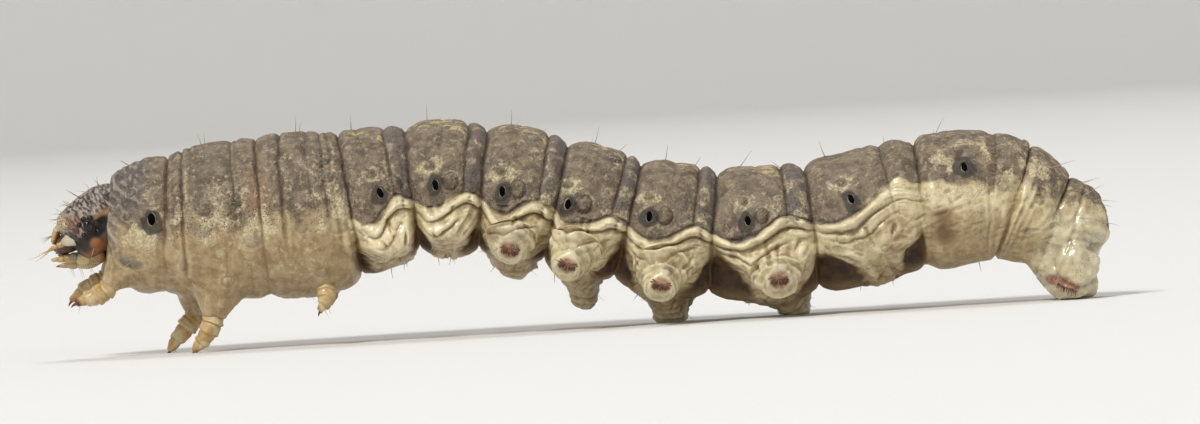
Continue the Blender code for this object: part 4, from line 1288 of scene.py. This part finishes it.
jaw = {
    "lumps": (((1.16, 0.52, 0.06), (0.62, 0.46, 0.42), -6, 0.35, 0.012, 0.2),
              ((1.50, 0.42, 0.02), (0.36, 0.30, 0.28), -10, 0.5, 0.012, 0.2)),
    "teeth": 5,
    "toothRadii": (0.13, 0.10, 0.015),
    "toothBands": (0.4, 0.6, 0.9),
}


def makeJaw(side):
    # a broad jaw with a row of blunt teeth
    pile = Pile()
    addRows(pile, lump, jaw["lumps"], side)
    for k in range(jaw["teeth"]):
        root = np.array([1.62 + 0.03 * k, 0.34, -0.18 + 0.10 * k])
        tip = np.array([1.93 - 0.02 * abs(k - 2), 0.16, -0.17 + 0.115 * k])
        tooth = [root, (root + tip) / 2, tip]
        addRows(pile, limb, [(tooth, jaw["toothRadii"], jaw["toothBands"], 0, 10)], side)
    return pile.build("jaw_" + sideNames[side], [darkHorn])


lowerLip = {
    "middle": (((1.10, 0, -0.98), (0.62, 0.50, 0.34), -26, 0.20, 0.02),
               ((1.66, 0, -0.66), (0.32, 0.34, 0.24), -34, 0.32, 0.015)),
    "spinneret": (((1.80, 0, -0.62), (1.95, 0, -0.54), (2.12, 0, -0.42), (2.26, 0, -0.34)),
                  (0.13, 0.11, 0.07, 0.02), (0.4, 0.45, 0.6, 0.9)),
    "sides": (((0.78, 0.50, -1.06), (0.40, 0.36, 0.33), -28, 0.62, 0.02),
              ((1.16, 0.525, -0.80), (0.36, 0.32, 0.29), -34, 0.15, 0.02),
              ((1.44, 0.55, -0.54), (0.21, 0.22, 0.19), -34, 0.62, 0.015, 0.16, 1)),
    # small jointed feelers
    "palps": (
        (((1.52, 0.50, -0.52), (1.58, 0.50, -0.48), (1.76, 0.50, -0.36), (1.81, 0.50, -0.33)),
         (0.16, 0.185, 0.165, 0.10), (0.2, 0.3, 0.4, 0.8)),
        (((1.80, 0.50, -0.34), (1.84, 0.50, -0.31), (1.98, 0.485, -0.20), (2.02, 0.48, -0.17)),
         (0.10, 0.125, 0.11, 0.06), (0.2, 0.25, 0.4, 0.8)),
        (((2.00, 0.48, -0.18), (2.04, 0.48, -0.15), (2.17, 0.47, -0.06), (2.21, 0.465, -0.03)),
         (0.06, 0.085, 0.07, 0.03), (0.2, 0.2, 0.3, 0.6)),
        (((1.62, 0.35, -0.30), (1.76, 0.33, -0.20), (1.88, 0.30, -0.10)), (0.12, 0.10, 0.03),
         (0.3, 0.4, 0.8), 0, 12),
    ),
}


def makeLowerLip():
    pile = Pile()
    addRows(pile, lump, lowerLip["middle"])
    addRows(pile, limb, [lowerLip["spinneret"]])
    for side in (-1, 1):
        addRows(pile, lump, lowerLip["sides"], side)
        addRows(pile, limb, lowerLip["palps"], side)
    return pile.build("lower_lip", [amberHorn, paleHorn])


capsule = capsuleShape()
ride(capsule, "head_capsule", "head")
ride(makeFace(), "head_capsule", "head")
for side, name in sideNames.items():
    ride(makeEye(side), "eye_lens", "stemmata_" + name)
    ride(makeFeeler(side), "amber_horn", "antenna_" + name)
    ride(makeJaw(side), "jaw_horn", "mandible_" + name)
ride(makeLowerLip(), "amber_horn", "lower_mouthparts")
print("head made")


# True legs

legs = {
    # joints and radii, as the solids have them
    "leg_1_left": (((-18.655, -0.74, 2.66), (-19.025, -0.74, 2.44), (-19.445, -0.70, 2.34),
                    (-19.845, -0.64, 2.20)), (0.41, 0.36, 0.27, 0.09)),
    "leg_1_right": (((-18.865, 1.30, 3.02), (-19.275, 1.32, 2.88), (-19.705, 1.28, 2.66),
                     (-20.105, 1.20, 2.28)), (0.41, 0.36, 0.27, 0.09)),
    "leg_2_left": (((-14.525, -0.81, 1.13), (-14.725, -0.82, 0.74), (-15.025, -0.78, 0.36),
                    (-15.285, -0.72, 0.05)), (0.46, 0.38, 0.26, 0.09)),
    "leg_2_right": (((-15.395, 1.37, 1.24), (-15.705, 1.38, 0.92), (-16.085, 1.34, 0.46),
                     (-16.365, 1.28, 0.05)), (0.46, 0.38, 0.26, 0.09)),
    "leg_3_left": (((-9.925, -1.40, 2.08), (-9.965, -1.58, 1.82), (-10.085, -1.66, 1.58),
                    (-10.215, -1.58, 1.38)), (0.40, 0.33, 0.23, 0.09)),
    "leg_3_right": (((-9.925, 1.96, 2.08), (-9.965, 2.14, 1.82), (-10.085, 2.22, 1.58),
                     (-10.215, 2.14, 1.38)), (0.40, 0.33, 0.23, 0.09)),
}


def makeLeg(name, joints, radii):
    # one bent limb of four segments, pinched where they meet, with two claws
    pile = Pile()
    joints = np.array(joints)
    joints = np.vstack([joints[0] + normed(joints[0] - joints[1]) * 0.36, joints])
    rings, corners = 97, 28
    spot = np.linspace(0, 4, rings)
    size = np.interp(spot, np.arange(5.0), (radii[0] * 0.74, radii[0] * 0.97, *radii[1:]))
    inside = spot % 1.0
    pinch = bell(inside, 0.16) + bell(inside - 1, 0.045)
    size = size * (1 - 0.15 * pinch + 0.07 * bell(inside - 0.80, 0.17)) * (1 - 0.5 * ramp(3.93, 4.0, spot))
    points, faces = tube(bent(joints, rings), size, corners)
    points = points + 0.045 * jitter(points, 0.30, (61, 64, 65))
    tones = 0.26 + 0.30 * bell(inside - 0.985, 0.022) * (spot > 0.9) + 0.38 * ramp(3.0, 4.0, spot)
    tones = np.repeat(tones, corners) + 0.08 * noiseAt(points, 0.08, 63)
    tones += 0.34 * furrows(points, 0.34, 62, 0.1, 0.8) - 0.25 * furrows(points, 0.30, 66, 0.1, 0.6)
    pile.add((points, faces), tones)
    ahead = normed(joints[4] - joints[3])
    lower = np.array([0.0, 0.0, -1.0])
    for y in (-0.05, 0.05):
        aside = np.array([0.0, y, 0.0])
        claw = [joints[4] + ahead * far + lower * drop + aside * spread
                for far, drop, spread in ((-0.08, 0, 0.6), (0.05, 0, 1), (0.14, 0.02, 1.2), (0.19, 0.08, 1))]
        pile.add(tube(claw, (0.07, 0.055, 0.034, 0.006), 10), 0.95)
    ride(pile.build("jointed_" + name, [amberHorn]), "amber_horn", name)
    return joints


legJoints = {name: makeLeg(name, joints, radii) for name, (joints, radii) in legs.items()}
print("legs made")


# Small horny parts on the skin: hooks of the fleshy legs, rims of the breathing holes, and hairs

skinTree = BVHTree.FromObject(skin, bpy.context.evaluated_depsgraph_get())


def castOn(tree, start, way):
    # where a ray meets a surface and the normal there, or nothing
    spot, normal, face, distance = tree.ray_cast(Vector(start * mm), Vector(way))
    return (np.array(spot) / mm, np.array(normal)) if spot else None


def onSkin(place, angle):
    # spot and normal of the skin at a place and angle
    centre, along, back, left = frameAt(place)
    turn = math.radians(angle)
    away = back * math.cos(turn) + left * math.sin(turn)
    return castOn(skinTree, centre + away * 4.6, -away) or (centre + away * 2, away)


hooks = {
    "count": 15,         # on each sole
    "step": 15,          # degrees from one to the next
    "ring": 0.30,        # radius of the row
    "stagger": 0.05,     # every other hook stands or reaches farther out
    "size": 0.21,
    "combCount": 14,
    "combSize": 0.20,
    "radii": (0.027, 0.023, 0.006),
}


def addHook(pile, near, spread, lower, size):
    # a hook on the skin nearest to a point, bent over to the way called lower
    spot, normal, face, distance = skinTree.find_nearest(Vector(near * mm))
    root, normal = np.array(spot) / mm, np.array(normal)
    line = [root - normal * 0.03, root + normal * 0.45 * size + spread * 0.1 * size,
            root + normal * 0.5 * size + lower * 0.9 * size]
    pile.add(tube(line, hooks["radii"], 7, side=np.cross(normal, lower)), 0.2)


def makeHooks():
    # most of a ring of hooks round each red-brown patch, and a comb on each clasping leg
    pile = Pile()
    for row in prolegRows:
        middle, down, outward, along = soleSpot(row)
        rise = (outward - down) / math.sqrt(2)
        for k in range(hooks["count"]):
            turn = math.radians(hooks["step"] * (k - hooks["count"] // 2))
            way = along * math.sin(turn) - rise * math.cos(turn)
            radius = hooks["ring"] + hooks["stagger"] * (k % 2)
            addHook(pile, middle + way * radius + outward * 0.1, way, -way, hooks["size"])
    x, z, dx, dz = claspers["comb"]
    for side in (-1, 1):
        for k in range(hooks["combCount"]):
            share = k / (hooks["combCount"] - 1)
            arch = z + dz * share + 0.06 * math.sin(math.pi * share)
            near = np.array([x + dx * share, body["middleY"] + side * 2.0, arch])
            addHook(pile, near, np.array([0.0, 0.0, -1.0]), np.array([-0.2, 0.0, -1.0]),
                    hooks["combSize"] + hooks["stagger"] * (k % 2))
    return pile.build("foot_hooks", [darkHorn])


rims = {
    "hole": (0.125, 0.215),              # half length and half height
    "thorax": (0.80, 87, 0.155, 0.25),   # place, angle and half sizes of the first hole
    "lean": 0.12,
    "radius": 0.026,
    "spread": 9,                         # degrees from the middle at which the skin is felt
}


def makeRims():
    pile = Pile()
    spots = [(i + hole[0], hole[1], *rims["hole"]) for i, (hole, middle, knob) in marks.items()]
    for place, angle, length, tall in (*spots, rims["thorax"]):
        for side in (1, -1):
            spot, normal = onSkin(place, side * (angle + rims["spread"]))
            other, normal = onSkin(place, side * (angle - rims["spread"]))
            middle = (spot + other) / 2
            centre, along, back, left = frameAt(place)
            across = normed(other - spot)
            normal = np.cross(across, along) * side
            lean = along - rims["lean"] * across
            turn = np.linspace(0, fullTurn, 33)[:, None]
            ring = middle + normal * 0.015 + length * np.cos(turn) * lean + tall * np.sin(turn) * across
            pile.add(tube(ring, rims["radius"], 8, side=normal), 0.55)
            size = (length * 0.96, tall * 0.96, 0.035)
            pile.add(ball(middle - normal * 0.03, size, np.array([lean, across, normal]), 32, 8), 0, 1)
    return pile.build("breathing_holes", [paleHorn, holeMaterial])


ride(makeHooks(), "amber_horn", *nodesOf("proleg_"))
ride(makeRims(), "jaw_horn", *nodesOf("abdomen_")[:8])
print("hooks and rims made")


hairs = {
    # place, angle, length, lean to the tail
    "collar": ((0.22, 30, 0.5, -0.6), (0.18, 62, 0.5, -0.6), (0.40, 60, 0.5, -0.2), (0.30, 12, 0.5, -0.5),
               (0.62, 84, 0.35, 0.0), (0.46, 131, 0.5, -0.2), (0.30, 140, 0.45, -0.3), (0.75, 52, 0.5, 0.2)),
    "thorax": ((0.46, 14, 0.75, 0.05), (0.50, 36, 0.75, 0.1), (0.62, 59, 0.5, 0.0), (0.76, 79, 0.45, 0.0),
               (0.44, 100, 0.4, 0.0), (0.60, 142, 0.45, 0.1), (0.45, 160, 0.4, 0.0)),
    "tail": ((11.4, 45, 0.9, 0.6), (11.45, 85, 0.7, 0.5), (11.5, 120, 0.6, 0.3), (12.2, 25, 0.9, 0.9),
             (12.35, 50, 1.0, 1.0), (12.4, 80, 0.9, 0.9), (12.62, 40, 0.9, 1.2), (12.6, 95, 0.8, 1.0),
             (12.75, 70, 0.9, 1.4), (12.4, 115, 0.7, 0.7)),
    # direction in the head's axes, length
    "head": ((-1.1, 0.5, 1.0, 0.5), (-0.6, 0.9, 0.9, 0.55), (-0.2, 0.35, 1.2, 0.6), (0.2, 0.8, 1.0, 0.55),
             (0.3, 0.25, 1.2, 0.5), (0.6, 0.6, 0.9, 0.55), (0.75, 1.0, 0.6, 0.5), (0.5, 1.3, 0.4, 0.45),
             (-0.3, 1.3, 0.6, 0.5), (0.0, 1.5, -0.3, 0.45), (0.5, 1.3, -0.7, 0.5), (0.9, 0.45, 0.95, 0.45)),
    "band": 0.2,
    "rings": 7,
    "corners": 6,
    "patch": 0.0015,     # radius on the bake map
}


def hair(pile, root, aim, length, spot, radius=0.020, droop=0.16):
    # one tapered hair. spot is its place on the bake map
    rings, corners = hairs["rings"], hairs["corners"]
    aim = normed(aim)
    bend = normed(np.cross(aim, (0.31, 0.52, 0.79)))
    swing = bend * chance.uniform(-droop, droop) + np.array([0.3, 0.0, -0.4]) * droop
    shares = np.linspace(0, 1, rings)
    line = root - aim * 0.04 + length * (shares[:, None] * aim + shares[:, None] ** 2 * swing)
    turn = np.tile(circle(corners), rings)
    reach = hairs["patch"] * np.repeat(1 - 0.12 * np.arange(rings), corners)
    roots = np.array(spot) + np.stack([np.cos(turn), np.sin(turn)], axis=1) * reach[:, None]
    pile.add(tube(line, radius * (1 - 0.8 * shares), corners, side=bend), hairs["band"], 0, roots)


def makeBodyHairs():
    pile = Pile()
    rows = list(hairs["collar"])
    for i in (1, 2):
        rows += [(i + share, *rest) for share, *rest in hairs["thorax"]]
    for i, (hole, middle, knob) in marks.items():
        before, behind = i + hole[0] - 0.18 / runs[i], i + hole[0] + 0.6 / runs[i]
        rows += [(i + 0.28, 20, 0.75, 0.05), (i + knob[0], knob[1], 0.72, 0.35),
                 (before, hole[1] - 17, 0.35, 0.0), (behind, hole[1] - 3, 0.4, 0.2),
                 (i + middle + 0.06, 131, 0.5, 0.1), (i + middle - 0.2, 138, 0.4, -0.1),
                 (i + 0.6, 158, 0.4, 0.0)]
    rows += hairs["tail"]
    for place, angle, length, lean in rows:
        for side in (1, -1):
            share = place + chance.uniform(-0.02, 0.02)
            turn = side * (angle + chance.uniform(-1.5, 1.5))
            root, normal = onSkin(share, turn)
            centre, along, back, left = frameAt(share)
            aim = normal + along * (lean + chance.uniform(-0.15, 0.15))
            hair(pile, root, aim, length * chance.uniform(0.8, 1.15), (share / last, 0.5 + turn / 360))
    for row in prolegRows:
        centre, down, reach, along = prolegAxis(row)
        for k in range(4):
            turn = math.radians(90 * k + 25)
            away = along * math.cos(turn) + np.cross(down, along) * math.sin(turn)
            height = row.seat + (reach - row.seat) * (0.45 + 0.12 * (k % 2))
            middle = centre + down * height
            root = (castOn(skinTree, middle + away * 2.0, -away) or [middle + away * row.root * 0.8])[0]
            patch = ((row.segment + row.share) / last + 0.006 * (k - 1.5),
                     0.5 + row.side * (0.40 + 0.008 * (k % 2)))
            hair(pile, root, away + down * 0.35, chance.uniform(0.35, 0.55), patch, 0.014)
    return pile.build("body_hairs", [hairMaterial])


def makeHeadHairs():
    # hairs of the head, feelers and true legs
    pile = Pile()
    tree = BVHTree.FromObject(capsule, bpy.context.evaluated_depsgraph_get())
    centre = headPoint((0, 0, 0))
    for m, out, f, length in hairs["head"]:
        for side in (1, -1):
            away = normed(headPoint((m, side * out, f)) - centre)
            root, normal = castOn(tree, centre + away * 4, -away)
            aim = normal + headAxes[0] * 0.35 + headAxes[2] * 0.15
            patch = (0.04 + 0.015 * m, 0.5 + 0.4 * math.atan2(side * out, f) / fullTurn)
            hair(pile, root, aim, length * chance.uniform(0.85, 1.15), patch)
    for k in range(6):
        side, step = (1, -1)[k % 2], k // 2
        root = headPoint((1.55, side * (0.10 + 0.18 * step), 0.66))
        aim = headAxes[0] + headAxes[2] * (0.25 + 0.2 * step) + headAxes[1] * side * 0.3
        hair(pile, root, aim, 0.60, (0.10 + 0.01 * k, 0.5), 0.015)
        root = headPoint((1.2 + 0.3 * step, side * 0.5, -1.02 + 0.22 * step))
        aim = -headAxes[2] + headAxes[0] * 0.35 + headAxes[1] * side * 0.2
        hair(pile, root, aim, 0.62, (0.10 + 0.01 * k, 0.56), 0.015)
    for k, joints in enumerate(legJoints.values()):
        for step in range(9):
            part = step % 3 + 1
            share = 0.35 + 0.2 * (step // 3)
            middle = joints[part] + (joints[part + 1] - joints[part]) * share
            ahead = normed(joints[part + 1] - joints[part])
            aside = np.cross(ahead, (0, 1, 0))
            turn = math.radians(120 * (step // 3) + 40 * part)
            away = aside * math.cos(turn) + np.array([0, 1, 0]) * math.sin(turn)
            patch = (0.2 + 0.02 * k, 0.1 + 0.02 * step)
            hair(pile, middle + away * 0.2, away + ahead * 0.6, 0.28, patch, 0.012)
    return pile.build("head_and_leg_hairs", [hairMaterial])


hairMaterial = plainMaterial("pale hair", (0.30, 0.25, 0.17), Roughness=0.35, IOR=1.50)
ride(makeBodyHairs(), "body_skin", *fleshNodes)
ride(makeHeadHairs(), "head_capsule", "head")
print("hairs made")


# Camera, lights and stage

view = {
    "roll": 3.5,                   # the larva's floor rises to the right in the photo
    "tilt": 1.0,                   # the camera looks slightly down
    "distance": 320.0,
    "centre": (0.961, 0.28, 4.542),
    "frameWidth": 1200 / 25.36,    # the photo's width at 25.36 pixels a millimetre
}
# spot in metres, width, watts
lights = {
    "key": ((-0.70, -1.10, 1.40), 0.55, 30.0),
    "fill": ((1.10, -1.30, 0.60), 0.90, 3.0),
    "top": ((0.10, 0.60, 1.70), 0.80, 10.0),
}
# in metres
stage = {"flat": 1.4, "bend": 0.6, "height": 3.2, "colour": (0.72, 0.71, 0.69), "sky": 0.23}


def makeCamera():
    lens = bpy.data.cameras.new("camera")
    lens.sensor_width = 36.0
    lens.lens = lens.sensor_width * view["distance"] / view["frameWidth"]
    lens.clip_start, lens.clip_end = 0.01, 10.0
    camera = bpy.data.objects.new("camera", lens)
    bpy.context.scene.collection.objects.link(camera)
    turn = (Matrix.Rotation(math.radians(90 - view["tilt"]), 4, "X")
            @ Matrix.Rotation(math.radians(-view["roll"]), 4, "Z"))
    back = turn.to_3x3() @ Vector((0, 0, view["distance"]))
    camera.matrix_world = Matrix.Translation((Vector(view["centre"]) + back) * mm) @ turn
    bpy.context.scene.camera = camera


def makeLight(name, spot, size, watts):
    lamp = bpy.data.lights.new(name, "AREA")
    lamp.shape = "DISK"
    lamp.size = size
    lamp.energy = watts
    light = bpy.data.objects.new(name, lamp)
    bpy.context.scene.collection.objects.link(light)
    light.location = spot
    light.rotation_euler = (-Vector(spot)).to_track_quat("-Z", "Y").to_euler()


def makeStage():
    # a pale floor that curves up far away, all round
    flat, bend = stage["flat"], stage["bend"]
    turns = [math.radians(degrees) for degrees in range(6, 91, 6)]
    profile = [(0.0, 0.0), (flat, 0.0)]
    profile += [(flat + bend * math.sin(turn), bend - bend * math.cos(turn)) for turn in turns]
    profile.append((flat + bend, stage["height"]))
    build = bmesh.new()
    points = [build.verts.new((x, 0, z)) for x, z in profile]
    edges = [build.edges.new(pair) for pair in zip(points, points[1:])]
    bmesh.ops.spin(build, geom=points + edges, cent=(0, 0, 0), axis=(0, 0, 1), angle=fullTurn, steps=96,
                   use_merge=True)
    mesh = meshFrom(build, "stage_floor")
    mesh.shade_smooth()
    floor = newObject("stage_floor", mesh, [plainMaterial("pale floor", stage["colour"], Roughness=0.75)])


makeCamera()
makeStage()
for name, row in lights.items():
    makeLight(name, *row)
world = bpy.data.worlds.new("studio")
world.use_nodes = True
sky = world.node_tree.nodes["Background"].inputs
sky["Color"].default_value = rgb(1.0, 1.0, 1.0)
sky["Strength"].default_value = stage["sky"]
bpy.context.scene.world = world
bpy.context.scene.view_settings.view_transform = "Standard"
print("camera, lights and stage ready")
